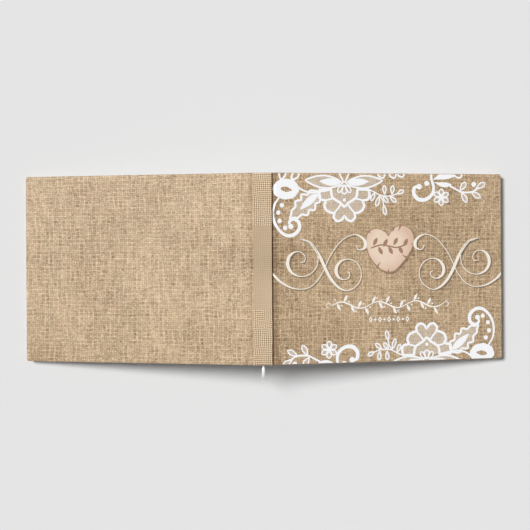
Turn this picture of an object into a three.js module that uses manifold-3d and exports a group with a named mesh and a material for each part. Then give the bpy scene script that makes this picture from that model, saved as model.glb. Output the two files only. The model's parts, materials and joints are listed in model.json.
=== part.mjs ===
// Landscape wedding guest book, case bound and sewn, lying open at its middle, face down, like a low tent.
// Millimetres. +X runs towards the front cover, +Y towards the head of the pages, +Z up.
// The origin is on the table, midway between the two fore-edges and midway between head and tail.
//
// Each half has its own flat frame: "out" is the distance from the spine's edge along the cover,
// and "depth" is the distance below the cover's outer face. The half is then tilted about that edge.

import * as THREE from 'three';
import { mergeVertices } from 'three/addons/utils/BufferGeometryUtils.js';
import Module from 'manifold-3d';

const wasm = await Module();
wasm.setup();

// ---- Driving dimensions -------------------------------------------------------------------------

const pageWidth = 273.4; // a leaf, from its bend at the gutter to its fore-edge
const pageHeight = 216;
const square = 3; // how far the boards stand past the leaves
const openingAngle = 158; // degrees between the two covers

const leafThickness = 0.17;
const leavesPerSignature = 8;
const signaturesPerHalf = 4;
const endpaperThickness = 0.2;

const boardThickness = 2.2;
const boardCornerRadius = 1.9;
const spineBoardThickness = 1.8;
const coverSheet = 0.4; // the printed sheet that wraps the boards
const turnIn = 15; // how far that sheet is folded in behind the boards
const jointWidth = 7; // from the spine's edge to the cover board
const jointDip = 1.8; // how deep the groove is pressed in there

const liningPaper = 0.2;
const mullThickness = 0.3;
const threadThickness = 0.4;
const threadRunMargin = 12; // from the end of the leaves to the last stitch
const liningMargin = 2; // from the end of the leaves to the mull and lining paper
const spineInset = 1.2; // how much narrower each side of the mull, thread and bands is than the spine

const bandHeight = 2.4;
const bandProjection = 2.2;

const ribbonWidth = 3.2;
const ribbonThickness = 0.2;
const ribbonTubeThickness = 0.8; // the plain solid that stands for the limp tail

const glueLine = 0.2;
const leafGap = 0.15;
const closedGap = 0.34; // between a half's innermost leaf and the middle of the spine, when closed
const edgeGap = 0.3; // where one piece ends against the next

// The ribbon's free tail: how far it has moved from its exit, towards -X, out past the tail, and down.
const ribbonRoute = [
  [0, 0, 0], [0, 2, 0], [0, 4, 0], [0.1, 6.5, 0.1], [0.2, 9, 0.4], [0.35, 11.5, 1.1], [0.55, 13.8, 2.3],
  [0.8, 15.9, 4.1], [1.05, 17.6, 6.4], [1.3, 18.9, 9.2], [1.5, 19.8, 12.4], [1.65, 20.3, 16], [1.75, 20.5, 20],
  [1.8, 20.5, 24.5], [1.8, 20.4, 29],
];

// ---- Derived places -----------------------------------------------------------------------------

const tilt = THREE.MathUtils.degToRad((180 - openingAngle) / 2);

const boardTop = coverSheet + glueLine;
const boardBottom = boardTop + boardThickness;
const turnInBottom = boardBottom + glueLine + coverSheet;
const pastedownTop = turnInBottom + glueLine;
const coverBottom = pastedownTop + endpaperThickness;
const flyleafTop = coverBottom + glueLine;
const flyleafBottom = flyleafTop + endpaperThickness;
const blockTop = flyleafBottom + glueLine;
const signatureThickness = leavesPerSignature * leafThickness;
const blockBottom = blockTop + signaturesPerHalf * signatureThickness + (signaturesPerHalf - 1) * leafGap;

const halfSpine = blockBottom + closedGap;
const spineBoardBottom = coverSheet + glueLine + spineBoardThickness;
const spineTurnInBottom = spineBoardBottom + glueLine + coverSheet;
const liningTop = spineTurnInBottom + glueLine;
const mullTop = liningTop + liningPaper + leafGap;
const threadTop = mullTop + mullThickness + leafGap;
const foldsTop = threadTop + threadThickness + leafGap;
const pageStart = foldsTop + glueLine;
const pageEnd = pageStart + pageWidth;
const coverStart = jointWidth;
const coverEnd = pageEnd + square;

const coverHeight = pageHeight + 2 * square;
const spineInnerWidth = 2 * (halfSpine - spineInset);
const spineTop = pageEnd * Math.sin(tilt) + blockBottom * Math.cos(tilt); // puts the lowest leaf on the table

const bandTop = spineTurnInBottom + edgeGap;
const ribbonMarkerTop = bandTop + bandHeight + edgeGap;
const ribbonMiddle = ribbonMarkerTop + ribbonWidth / 2;
const ribbonMarkerEnd = pageHeight / 2 + edgeGap;
const ribbonExit = ribbonMarkerEnd + edgeGap + ribbonWidth / 2;

// ---- Materials ----------------------------------------------------------------------------------

const finish = (color, roughness) => () => new THREE.MeshStandardMaterial({ color, roughness, metalness: 0 });
const burlapPrint = finish(0xb3946a, 0.8);
const greyBoard = finish(0x8f8a82, 0.95);
const leafPaper = finish(0xf4f1e8, 0.9);
const endpaper = finish(0xf7f5ef, 0.9);
const gauze = finish(0xe6e0cf, 1);
const kraftPaper = finish(0xb08d62, 0.95);
const linenThread = finish(0xefe9da, 0.8);
const bandCloth = finish(0xf2efe6, 0.6);
const satin = finish(0xfaf9f6, 0.4);

// ---- Helpers ------------------------------------------------------------------------------------

/** A closed polygon of [across, up] points as a Shape. */
const polygon = (points) => new THREE.Shape(points.map(([across, up]) => new THREE.Vector2(across, up)));

/** Extrudes a Shape drawn in the X-Z plane along Y, centred on y = 0. */
function alongY(shape, length, curveSegments = 8) {
  const geometry = new THREE.ExtrudeGeometry(shape, { depth: length, bevelEnabled: false, curveSegments });
  return geometry.rotateX(Math.PI / 2).translate(0, length / 2, 0);
}

/** Extrudes a Shape drawn in the Y-Z plane along X, centred on x = 0. */
function alongX(shape, length, curveSegments = 8) {
  const geometry = new THREE.ExtrudeGeometry(shape, { depth: length, bevelEnabled: false, curveSegments });
  return geometry.rotateX(Math.PI / 2).rotateZ(Math.PI / 2).translate(-length / 2, 0, 0);
}

/** A box from its low and high corners. */
function boxBetween(low, high) {
  const size = high.map((value, axis) => value - low[axis]);
  const middle = high.map((value, axis) => (value + low[axis]) / 2);
  return new THREE.BoxGeometry(...size).translate(...middle);
}

/** A geometry as a manifold solid. */
function toSolid(geometry) {
  const bare = geometry.clone();
  bare.deleteAttribute('normal');
  bare.deleteAttribute('uv');
  const merged = mergeVertices(bare, 1e-5);
  return new wasm.Manifold(new wasm.Mesh({
    numProp: 3,
    vertProperties: new Float32Array(merged.attributes.position.array),
    triVerts: new Uint32Array(merged.index.array),
  }));
}

/** A manifold solid as a geometry. */
function toGeometry(solid) {
  const mesh = solid.getMesh();
  const geometry = new THREE.BufferGeometry();
  geometry.setAttribute('position', new THREE.BufferAttribute(mesh.vertProperties, 3));
  geometry.setIndex(new THREE.BufferAttribute(mesh.triVerts, 1));
  geometry.computeVertexNormals();
  return geometry;
}

/** The first geometry without the others. */
const cut = (geometry, ...tools) =>
  toGeometry(tools.reduce((solid, tool) => solid.subtract(toSolid(tool)), toSolid(geometry)));

/** All the geometries as one. */
const join = (...geometries) => toGeometry(geometries.map(toSolid).reduce((all, next) => all.add(next)));

const book = new THREE.Group();

/** Adds a named mesh to a group. */
function add(group, name, geometry, material) {
  const mesh = new THREE.Mesh(geometry, material());
  mesh.name = name;
  group.add(mesh);
  return mesh;
}

// ---- One half of the book: a cover, its endpapers and its signatures ----------------------------

/** The outline of a cover seen from outside, square at the spine and rounded at the fore-edge corners. */
function coverOutline(side, start, end, halfHeight, radius) {
  const outline = new THREE.Shape();
  outline.moveTo(start, -halfHeight);
  outline.lineTo(end - radius, -halfHeight);
  outline.absarc(end - radius, -halfHeight + radius, radius, -Math.PI / 2, 0, false);
  outline.lineTo(end, halfHeight - radius);
  outline.absarc(end - radius, halfHeight - radius, radius, 0, Math.PI / 2, false);
  outline.lineTo(start, halfHeight);
  outline.closePath();
  if (side > 0) return outline;
  return new THREE.Shape(outline.getPoints(6).map((point) => new THREE.Vector2(-point.x, point.y)));
}

/** A plate of that outline between two depths below the cover's outer face. */
function coverPlate(side, start, end, halfHeight, radius, top, bottom) {
  const outline = coverOutline(side, start, end, halfHeight, radius);
  const depth = bottom - top;
  return new THREE.ExtrudeGeometry(outline, { depth, bevelEnabled: false, curveSegments: 6 })
    .translate(0, 0, -bottom);
}

/** A flat sheet or stack of leaves between two depths. */
function leafPlate(side, start, end, top, bottom, height = pageHeight) {
  const [near, far] = [side * start, side * end].sort((a, b) => a - b);
  return boxBetween([near, -height / 2, -bottom], [far, height / 2, -top]);
}

/** The printed sheet: over the board's outer face and round its three free edges, with its turn-ins. */
function coverWrap(side) {
  const sheetRadius = boardCornerRadius + glueLine + coverSheet;
  const skin = coverPlate(side, coverStart, coverEnd, coverHeight / 2, sheetRadius, 0, turnInBottom);
  const room = coverPlate(
    side, coverStart - 1, coverEnd - coverSheet, coverHeight / 2 - coverSheet,
    boardCornerRadius + glueLine, coverSheet, boardBottom + glueLine,
  );
  const window = leafPlate(
    side, coverStart - 1, coverEnd - turnIn, boardBottom, turnInBottom + 1, coverHeight - 2 * turnIn,
  );
  return cut(skin, room, window);
}

/** The sheet where it crosses the joint, pressed into a shallow groove. */
function jointCloth(side) {
  const steps = 10;
  const start = edgeGap / 2;
  const end = coverStart - edgeGap;
  const top = [];
  for (let i = 0; i <= steps; i += 1) {
    const share = i / steps;
    top.push([side * (start + share * (end - start)), -jointDip * Math.sin(Math.PI * share) ** 2]);
  }
  const underside = top.map(([across, up]) => [across, up - coverSheet]).reverse();
  return alongY(polygon([...top, ...underside]), coverHeight);
}

/** Where a point of a half's own frame lies in the book's frame, across and up. */
function inBook(side, out, depth) {
  const across = halfSpine + out * Math.cos(tilt) - depth * Math.sin(tilt);
  return [side * across, spineTop - out * Math.sin(tilt) - depth * Math.cos(tilt)];
}

/** The leaves' bent ends, between the sewn folds at the spine and the flat part of the leaves. */
function gutterFolds(side) {
  const innerLeafAtMiddle = (closedGap - halfSpine + blockBottom * Math.sin(tilt)) / Math.cos(tilt);
  const end = pageStart - edgeGap;
  const section = [
    [side * closedGap, spineTop - foldsTop],
    [side * (halfSpine - spineInset), spineTop - foldsTop],
    inBook(side, end, blockTop),
    inBook(side, end, blockBottom),
    inBook(side, innerLeafAtMiddle, blockBottom),
  ];
  return alongY(polygon(section), pageHeight);
}

/** Builds one half. side is 1 for the front half and -1 for the back half. */
function buildHalf(side, name, firstSignature) {
  const half = new THREE.Group();
  half.position.set(side * halfSpine, 0, spineTop);
  half.rotation.y = side * tilt;

  const boardEnd = coverEnd - coverSheet - glueLine;
  const boardHalf = coverHeight / 2 - coverSheet - glueLine;
  const board = coverPlate(side, coverStart, boardEnd, boardHalf, boardCornerRadius, boardTop, boardBottom);
  add(half, `${name}_board`, board, greyBoard);
  add(half, `${name}_cover_wrap`, coverWrap(side), burlapPrint);
  add(half, `${name}_joint_cloth`, jointCloth(side), burlapPrint);
  const pastedown = leafPlate(side, coverStart + edgeGap, pageEnd, pastedownTop, coverBottom);
  add(half, `${name}_pastedown`, pastedown, endpaper);
  add(half, `${name}_flyleaf`, leafPlate(side, pageStart, pageEnd, flyleafTop, flyleafBottom), endpaper);

  for (let i = 0; i < signaturesPerHalf; i += 1) {
    const top = blockTop + i * (signatureThickness + leafGap);
    const holdsTurningLeaf = side > 0 && i === signaturesPerHalf - 1;
    const thickness = signatureThickness - (holdsTurningLeaf ? leafThickness + leafGap : 0);
    const number = firstSignature + side * i;
    add(half, `signature_${number}`, leafPlate(side, pageStart, pageEnd, top, top + thickness), leafPaper);
  }
  if (side > 0) {
    const turningLeaf = leafPlate(side, pageStart, pageEnd, blockBottom - leafThickness, blockBottom);
    add(half, 'turning_leaf', turningLeaf, leafPaper);
  }
  book.add(half);
  add(book, `${name}_gutter_folds`, gutterFolds(side), leafPaper);
}

buildHalf(1, 'front', 1);
buildHalf(-1, 'back', 2 * signaturesPerHalf);

// ---- The spine ----------------------------------------------------------------------------------

const spine = new THREE.Group();
spine.position.z = spineTop;
book.add(spine);

const spineSheetWidth = 2 * halfSpine - edgeGap;
const spineBoardHalf = coverHeight / 2 - coverSheet - glueLine;

const spineBoard = boxBetween(
  [-spineSheetWidth / 2, -spineBoardHalf, -spineBoardBottom],
  [spineSheetWidth / 2, spineBoardHalf, -coverSheet - glueLine],
);
add(spine, 'spine_board', spineBoard, greyBoard);

/** The sheet over the spine board and round its head and tail, with its turn-ins. */
function spineWrap() {
  const half = coverHeight / 2;
  const section = [
    [-half, 0], [half, 0], [half, -spineTurnInBottom], [half - turnIn, -spineTurnInBottom],
    [half - turnIn, coverSheet - spineTurnInBottom], [half - coverSheet, coverSheet - spineTurnInBottom],
    [half - coverSheet, -coverSheet], [coverSheet - half, -coverSheet],
    [coverSheet - half, coverSheet - spineTurnInBottom], [turnIn - half, coverSheet - spineTurnInBottom],
    [turnIn - half, -spineTurnInBottom], [-half, -spineTurnInBottom],
  ];
  return alongX(polygon(section), spineSheetWidth);
}
add(spine, 'spine_wrap', spineWrap(), burlapPrint);

/** A sheet glued along the backs of the sewn sections, at a depth below the spine's outer face. */
function spineSheet(top, thickness) {
  const halfLength = pageHeight / 2 - liningMargin;
  return boxBetween(
    [-spineInnerWidth / 2, -halfLength, -top - thickness],
    [spineInnerWidth / 2, halfLength, -top],
  );
}
add(spine, 'spine_lining_paper', spineSheet(liningTop, liningPaper), kraftPaper);
add(spine, 'spine_mull', spineSheet(mullTop, mullThickness), gauze);

/** The outline of a flat thread of even thickness that follows a path of square turns. */
function threadOutline(path, thickness) {
  const side = (sign) => path.map((point, i) => {
    const before = i ? point.clone().sub(path[i - 1]).normalize() : null;
    const after = i < path.length - 1 ? path[i + 1].clone().sub(point).normalize() : null;
    const [first, second] = [before ?? after, after ?? before];
    const square = new THREE.Vector2(-first.y - second.y, first.x + second.x);
    return point.clone().addScaledVector(square, (sign * thickness) / 2 / (1 + first.dot(second)));
  });
  return new THREE.Shape([...side(1), ...side(-1).reverse()]);
}

/** One thread that runs along each section's fold and steps over to the next at alternate ends. */
function sewingThread() {
  const sections = 2 * signaturesPerHalf;
  const pitch = (spineInnerWidth - 2 * threadThickness) / (sections - 1);
  const halfRun = pageHeight / 2 - threadRunMargin;
  const path = [];
  for (let i = 0; i < sections; i += 1) {
    const across = (i - (sections - 1) / 2) * pitch;
    const direction = i % 2 ? 1 : -1;
    path.push(new THREE.Vector2(across, direction * halfRun), new THREE.Vector2(across, -direction * halfRun));
  }
  const outline = threadOutline(path, threadThickness);
  return new THREE.ExtrudeGeometry(outline, { depth: threadThickness, bevelEnabled: false })
    .translate(0, 0, -threadTop - threadThickness);
}
add(spine, 'sewing_thread', sewingThread(), linenThread);

/** The bead at the head (1) or tail (-1) of the sewn sections. */
function endBand(end) {
  const bead = new THREE.Shape();
  bead.absellipse(
    end * (pageHeight / 2 + edgeGap + bandProjection / 2), -bandTop - bandHeight / 2,
    bandProjection / 2, bandHeight / 2, 0, 2 * Math.PI,
  );
  return alongX(bead, spineInnerWidth, 8);
}
add(spine, 'head_band', endBand(1), bandCloth);
add(spine, 'tail_band', endBand(-1), bandCloth);

const ribbonMarker = boxBetween(
  [-ribbonThickness / 2, -ribbonMarkerEnd, -ribbonMarkerTop - ribbonWidth],
  [ribbonThickness / 2, pageHeight / 2 - liningMargin, -ribbonMarkerTop],
);
add(spine, 'ribbon_marker', ribbonMarker, satin);

/** The ribbon's free tail, with a round end at its exit so that it can swing there. */
function ribbonTail() {
  const route = new THREE.CatmullRomCurve3(ribbonRoute.map(([left, out, down]) =>
    new THREE.Vector3(-left, -ribbonExit - out, -ribbonMiddle - down)));
  const section = new THREE.Shape();
  section.absellipse(0, 0, ribbonTubeThickness / 2, ribbonWidth / 2, 0, 2 * Math.PI);
  const strip = new THREE.ExtrudeGeometry(new THREE.Shape(section.getSpacedPoints(8).slice(0, 8)), {
    steps: ribbonRoute.length - 1, extrudePath: route, bevelEnabled: false,
  });
  const turn = new THREE.CylinderGeometry(ribbonWidth / 2, ribbonWidth / 2, ribbonTubeThickness / 2, 24)
    .rotateX(Math.PI / 2).translate(0, -ribbonExit, -ribbonMiddle);
  return join(strip, turn);
}
add(spine, 'ribbon_tail', ribbonTail(), satin);

export default book;
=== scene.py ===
"""Landscape wedding guest book, open at its middle and lying face down: its surfaces and finishes.

Every length is in metres. A half of the book has its own flat frame: "out" runs from the spine's edge
along the cover, "along" runs from tail to head, and "depth" runs down from the cover's outer face.
"""

from __future__ import annotations

import json
import logging
import math
import random
from dataclasses import dataclass, field
from enum import Enum
from typing import Callable, Iterable, Sequence

import bmesh
import bpy
import numpy as np
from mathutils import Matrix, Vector, geometry

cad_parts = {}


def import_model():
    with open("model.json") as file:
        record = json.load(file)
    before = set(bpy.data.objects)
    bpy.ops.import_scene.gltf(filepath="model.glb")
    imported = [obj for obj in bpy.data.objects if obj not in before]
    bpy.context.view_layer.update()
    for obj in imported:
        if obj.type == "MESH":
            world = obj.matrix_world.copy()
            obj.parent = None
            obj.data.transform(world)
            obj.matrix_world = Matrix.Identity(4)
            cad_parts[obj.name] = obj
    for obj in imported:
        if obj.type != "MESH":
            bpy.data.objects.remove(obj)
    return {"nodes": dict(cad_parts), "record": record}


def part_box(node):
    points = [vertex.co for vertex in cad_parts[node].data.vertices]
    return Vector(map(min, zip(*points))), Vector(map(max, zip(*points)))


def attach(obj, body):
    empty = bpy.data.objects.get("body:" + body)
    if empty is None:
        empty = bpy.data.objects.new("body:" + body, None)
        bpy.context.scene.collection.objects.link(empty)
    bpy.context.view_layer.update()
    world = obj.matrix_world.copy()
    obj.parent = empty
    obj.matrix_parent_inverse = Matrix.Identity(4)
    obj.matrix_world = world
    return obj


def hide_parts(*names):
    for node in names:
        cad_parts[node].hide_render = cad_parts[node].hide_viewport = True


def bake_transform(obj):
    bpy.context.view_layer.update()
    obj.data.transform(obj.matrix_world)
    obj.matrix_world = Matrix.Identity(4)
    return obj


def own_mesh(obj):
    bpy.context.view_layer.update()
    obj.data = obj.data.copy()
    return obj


LOG = logging.getLogger("guest_book")
MM = 0.001
CLOTH_UV = "cloth"

Colour = tuple[float, float, float]
Flat = tuple[float, float]
Corner = tuple[float, float, float]


def mm(value: float) -> float:
    """A length given in millimetres, in metres."""
    return value * MM


# ---- Node graphs and finishes ----


class Graph:
    """Builds the nodes of one material around its Principled shader."""

    def __init__(self, name: str, roughness: float) -> None:
        """Starts a material.

        Args:
            name: the material's name.
            roughness: the shader's own roughness, the same all over.
        """
        self.material = bpy.data.materials.new(name)
        self.material.use_nodes = True
        self.tree = self.material.node_tree
        self.tree.nodes.clear()
        self.shader = self.node("ShaderNodeBsdfPrincipled")
        self.shader.inputs["Roughness"].default_value = roughness
        output = self.node("ShaderNodeOutputMaterial")
        self.tree.links.new(self.shader.outputs["BSDF"], output.inputs["Surface"])

    def node(self, kind: str, **settings: object) -> bpy.types.Node:
        """Adds a node and sets its properties.

        Args:
            kind: the node's type.
            settings: its properties.

        Returns:
            The node.
        """
        made = self.tree.nodes.new(kind)
        for key, value in settings.items():
            setattr(made, key, value)
        return made

    def feed(self, socket: bpy.types.NodeSocket, value: object) -> None:
        """Links a socket into another one, or sets its default when the value is a number or colour.

        Args:
            socket: the socket to feed.
            value: a socket, a number or a colour.
        """
        if isinstance(value, bpy.types.NodeSocket):
            self.tree.links.new(value, socket)
        elif isinstance(value, tuple) and len(value) == 3 and socket.type == "RGBA":
            socket.default_value = (*value, 1.0)
        else:
            socket.default_value = value

    def math(self, operation: str, *values: object, clamp: bool = False) -> bpy.types.NodeSocket:
        """A Math node's result.

        Args:
            operation: the node's operation.
            values: its inputs.
            clamp: whether it is kept from 0 to 1.

        Returns:
            The result's socket.
        """
        made = self.node("ShaderNodeMath", operation=operation, use_clamp=clamp)
        for socket, value in zip(made.inputs, values):
            self.feed(socket, value)
        return made.outputs[0]

    def stretch(self, value: object, low: float, high: float, to: tuple[float, float] = (0, 1),
                smooth: bool = False) -> bpy.types.NodeSocket:
        """A value taken from low..high to another range, clamped.

        Args:
            value: the value.
            low: the start of its range.
            high: the end of its range.
            to: the other range.
            smooth: whether it eases in and out.

        Returns:
            The result's socket.
        """
        kind = "SMOOTHSTEP" if smooth else "LINEAR"
        made = self.node("ShaderNodeMapRange", interpolation_type=kind)
        for name, number in (("Value", value), ("From Min", low), ("From Max", high),
                             ("To Min", to[0]), ("To Max", to[1])):
            self.feed(made.inputs[name], number)
        return made.outputs["Result"]

    def mix(self, factor: object, first: object, second: object) -> bpy.types.NodeSocket:
        """A colour between two others.

        Args:
            factor: the second colour's share.
            first: the colour at 0.
            second: the colour at 1.

        Returns:
            The colour's socket.
        """
        made = self.node("ShaderNodeMix", data_type="RGBA")
        self.feed(made.inputs[0], factor)
        self.feed(made.inputs[6], first)
        self.feed(made.inputs[7], second)
        return made.outputs[2]

    def cloth(self) -> tuple[bpy.types.NodeSocket, bpy.types.NodeSocket]:
        """How far a point lies along the sheet, both ways, in millimetres.

        Returns:
            The distance along the cover and the distance up it.
        """
        split = self.node("ShaderNodeSeparateXYZ")
        self.feed(split.inputs[0], self.node("ShaderNodeUVMap", uv_map=CLOTH_UV).outputs[0])
        return (self.math("MULTIPLY", split.outputs[0], 1 / MM),
                self.math("MULTIPLY", split.outputs[1], 1 / MM))

    def joined(self, x: object, y: object, z: object = 0.0) -> bpy.types.NodeSocket:
        """Three values as one vector.

        Args:
            x: the first value.
            y: the second.
            z: the third.

        Returns:
            The vector's socket.
        """
        made = self.node("ShaderNodeCombineXYZ")
        for socket, value in zip(made.inputs, (x, y, z)):
            self.feed(socket, value)
        return made.outputs[0]

    def noise(self, vector: object, scale: float = 1.0, detail: float = 2.0,
              roughness: float = 0.5) -> bpy.types.NodeSocket:
        """A Noise texture's value.

        Args:
            vector: where it is looked up.
            scale: its scale.
            detail: its detail.
            roughness: its roughness.

        Returns:
            The value's socket.
        """
        made = self.node("ShaderNodeTexNoise")
        self.feed(made.inputs["Vector"], vector)
        made.inputs["Scale"].default_value = scale
        made.inputs["Detail"].default_value = detail
        made.inputs["Roughness"].default_value = roughness
        return made.outputs[0]

    def place(self) -> bpy.types.NodeSocket:
        """A point's place on the piece, in millimetres.

        Returns:
            The place's socket.
        """
        made = self.node("ShaderNodeVectorMath", operation="SCALE")
        self.feed(made.inputs[0], self.node("ShaderNodeTexCoord").outputs["Object"])
        made.inputs["Scale"].default_value = 1 / MM
        return made.outputs[0]

    def bump(self, height: object, distance: float, strength: float = 1.0) -> None:
        """Raises the surface's shading by a height from 0 to 1 times the distance.

        Args:
            height: the height's socket.
            distance: the full height, in metres.
            strength: how much of it shows.
        """
        made = self.node("ShaderNodeBump")
        made.inputs["Distance"].default_value = distance
        made.inputs["Strength"].default_value = strength
        self.feed(made.inputs["Height"], height)
        self.tree.links.new(made.outputs[0], self.shader.inputs["Normal"])

    def colour(self, value: object) -> None:
        """Feeds the shader's base colour."""
        self.feed(self.shader.inputs["Base Color"], value)


@dataclass(frozen=True)
class BurlapPrint:
    """A matt sheet printed with a picture of burlap.

    Attributes:
        name: the material's name.
        light: the colour of a thread's crown.
        dark: the colour between threads.
        pitch: millimetres from thread to thread, along the cover and up it.
        weave: how clearly the gaps between threads show, from 0 to 1.
        slubs: how much threads differ, and change along their length.
        grain: how much fine speckle there is.
        patchy: how much the tone drifts over the sheet.
        plain: half the height, in millimetres, of a blurred stretch with no weave, or 0 for none.
        veil: how much of a pale net lies over the print, from 0 to 1.
        painted_joint_shade: how much painted shade darkens the print in the joint next to the spine, and more
            faintly across the cover towards it, from 0 to 1.
    """

    name: str
    light: Colour = (0.71, 0.545, 0.36)
    dark: Colour = (0.245, 0.155, 0.082)
    pitch: Flat = (2.75, 2.3)
    weave: float = 0.4
    slubs: float = 1.0
    grain: float = 1.0
    patchy: float = 0.55
    plain: float = 0.0
    veil: float = 0.0
    painted_joint_shade: float = 0.0

    def threads(self, graph: Graph) -> tuple[bpy.types.NodeSocket, bpy.types.NodeSocket]:
        """The weave's height and its threads' tone.

        Args:
            graph: the material being built.

        Returns:
            Both values, from 0 to 1.
        """
        across, up = graph.cloth()
        lines, tones, crowns = [], [], []
        for index, (over, along) in enumerate(((across, up), (up, across))):
            wander = graph.noise(graph.joined(over, along, 7.0 * index), 0.04, 2)
            drift = graph.math("MULTIPLY", wander, 2.2)
            line = graph.math("MULTIPLY_ADD", over, 1 / self.pitch[index], drift)
            number = graph.math("MULTIPLY", graph.math("FLOOR", line), 5.37)
            slow = graph.noise(graph.joined(number, graph.math("MULTIPLY", along, 0.045), 3.1), 1.0, 1.0)
            quick = graph.noise(graph.joined(number, graph.math("MULTIPLY", along, 0.3), 9.7), 1.0, 1.0)
            half = graph.math("MULTIPLY", slow, 0.5)
            wave = graph.math("SINE", graph.math("MULTIPLY", line, math.pi))
            paired = graph.math("MULTIPLY_ADD", wave, 0.06, half)
            tone = graph.math("MULTIPLY_ADD", quick, 0.5, paired)
            share = (1.35, 0.85)[index]
            tones.append(graph.math("MULTIPLY_ADD", graph.math("SUBTRACT", tone, 0.5), share, 0.5))
            crowns.append(graph.math("ABSOLUTE", wave))
            lines.append(graph.math("FLOOR", line))
        turns = graph.math("ADD", *lines)
        on_top = graph.math("MULTIPLY", graph.math("FRACT", graph.math("MULTIPLY", turns, 0.5)), 2.0)
        swell = [graph.math("MULTIPLY_ADD", crown, 0.45, 0.55) for crown in crowns]
        height = self.between(graph, on_top, graph.math("MULTIPLY", crowns[0], swell[1]),
                              graph.math("MULTIPLY", crowns[1], swell[0]))
        own = self.between(graph, on_top, *tones)
        both = graph.math("MULTIPLY", graph.math("ADD", *tones), 0.25)
        return height, graph.math("MULTIPLY_ADD", own, 0.5, both)

    @staticmethod
    def between(graph: Graph, share: object, first: object, second: object) -> bpy.types.NodeSocket:
        """A number between two others, by a share from 0 to 1."""
        step = graph.math("SUBTRACT", second, first)
        return graph.math("MULTIPLY_ADD", step, share, first)

    def build(self) -> bpy.types.Material:
        """Makes the material.

        Returns:
            The material.
        """
        graph = Graph(self.name, 0.62)
        graph.shader.inputs["Specular IOR Level"].default_value = 0.3
        across, up = graph.cloth()
        height, tone = self.threads(graph)
        speckle = graph.noise(graph.joined(across, up, 2.0), 0.9, 1.0, 0.5)
        patches = graph.noise(graph.joined(across, up, 11.0), 0.012, 3)
        value = graph.math("MULTIPLY", graph.math("SUBTRACT", height, 0.5), self.weave)
        value = graph.math("MULTIPLY_ADD", graph.math("SUBTRACT", tone, 0.5), 1.9 * self.slubs, value)
        value = graph.math("MULTIPLY_ADD", graph.math("SUBTRACT", speckle, 0.5), 1.5 * self.grain, value)
        if self.plain:
            edge = graph.math("ABSOLUTE", graph.math("SUBTRACT", up, 0.5))
            ragged = graph.math("MULTIPLY_ADD", graph.noise(graph.joined(across, up), 0.5, 1), 2.0, edge)
            woven = graph.stretch(ragged, self.plain, self.plain + 2.0, (0.07, 1.0), smooth=True)
            value = graph.math("MULTIPLY", value, woven)
        value = graph.math("MULTIPLY_ADD", graph.math("SUBTRACT", patches, 0.5), self.patchy, value)
        if self.painted_joint_shade:
            # Painted shade: the print is darkened in the joint next to the spine, and faintly across the
            # cover towards the spine.
            groove_band_shade = graph.stretch(across, 1.6, 8.6, (self.painted_joint_shade, 0.0), smooth=True)
            spine_side_shade = graph.stretch(across, 0.0, 60.0, (self.painted_joint_shade * 0.15, 0.0), smooth=True)
            value = graph.math("SUBTRACT", graph.math("SUBTRACT", value, groove_band_shade), spine_side_shade)
        value = graph.math("ADD", value, 0.50, clamp=not self.painted_joint_shade)
        value = graph.math("MAXIMUM", value, -0.35)
        body = graph.mix(value, self.dark, self.light)
        warmth = graph.noise(graph.joined(across, up, 17.0), 0.11, 2)
        body = graph.mix(graph.stretch(warmth, 0.5, 0.85, (0.0, 0.3)), body, (0.56, 0.36, 0.21))
        if self.veil:
            net = graph.noise(graph.joined(across, up, 23.0), 1.4, 1)
            share = graph.stretch(net, 0.3, 0.7, (self.veil - 0.14, self.veil + 0.14))
            body = graph.mix(share, body, (0.80, 0.77, 0.72))
        graph.colour(body)
        graph.bump(graph.math("MULTIPLY_ADD", height, 0.6, tone), mm(0.05), 0.35)
        return graph.material


@dataclass(frozen=True)
class Ink:
    """A solid printed or engraved colour, a little uneven, with the texture of thread or brush.

    Attributes:
        name: the material's name.
        base: the ink's colour.
        shade: the colour of its thin places.
        grain: how many grains there are to a millimetre.
        uneven: how much of the shade shows.
    """

    name: str
    base: Colour
    shade: Colour
    grain: float = 0.9
    uneven: float = 0.4

    def build(self) -> bpy.types.Material:
        """Makes the material.

        Returns:
            The material.
        """
        graph = Graph(self.name, 0.6)
        across, up = graph.cloth()
        speck = graph.noise(graph.joined(across, up), self.grain, 2.5, 0.6)
        graph.colour(graph.mix(graph.stretch(speck, 0.45, 0.8, (0.0, self.uneven)), self.base, self.shade))
        graph.bump(speck, mm(0.03), 0.4)
        return graph.material


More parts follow.
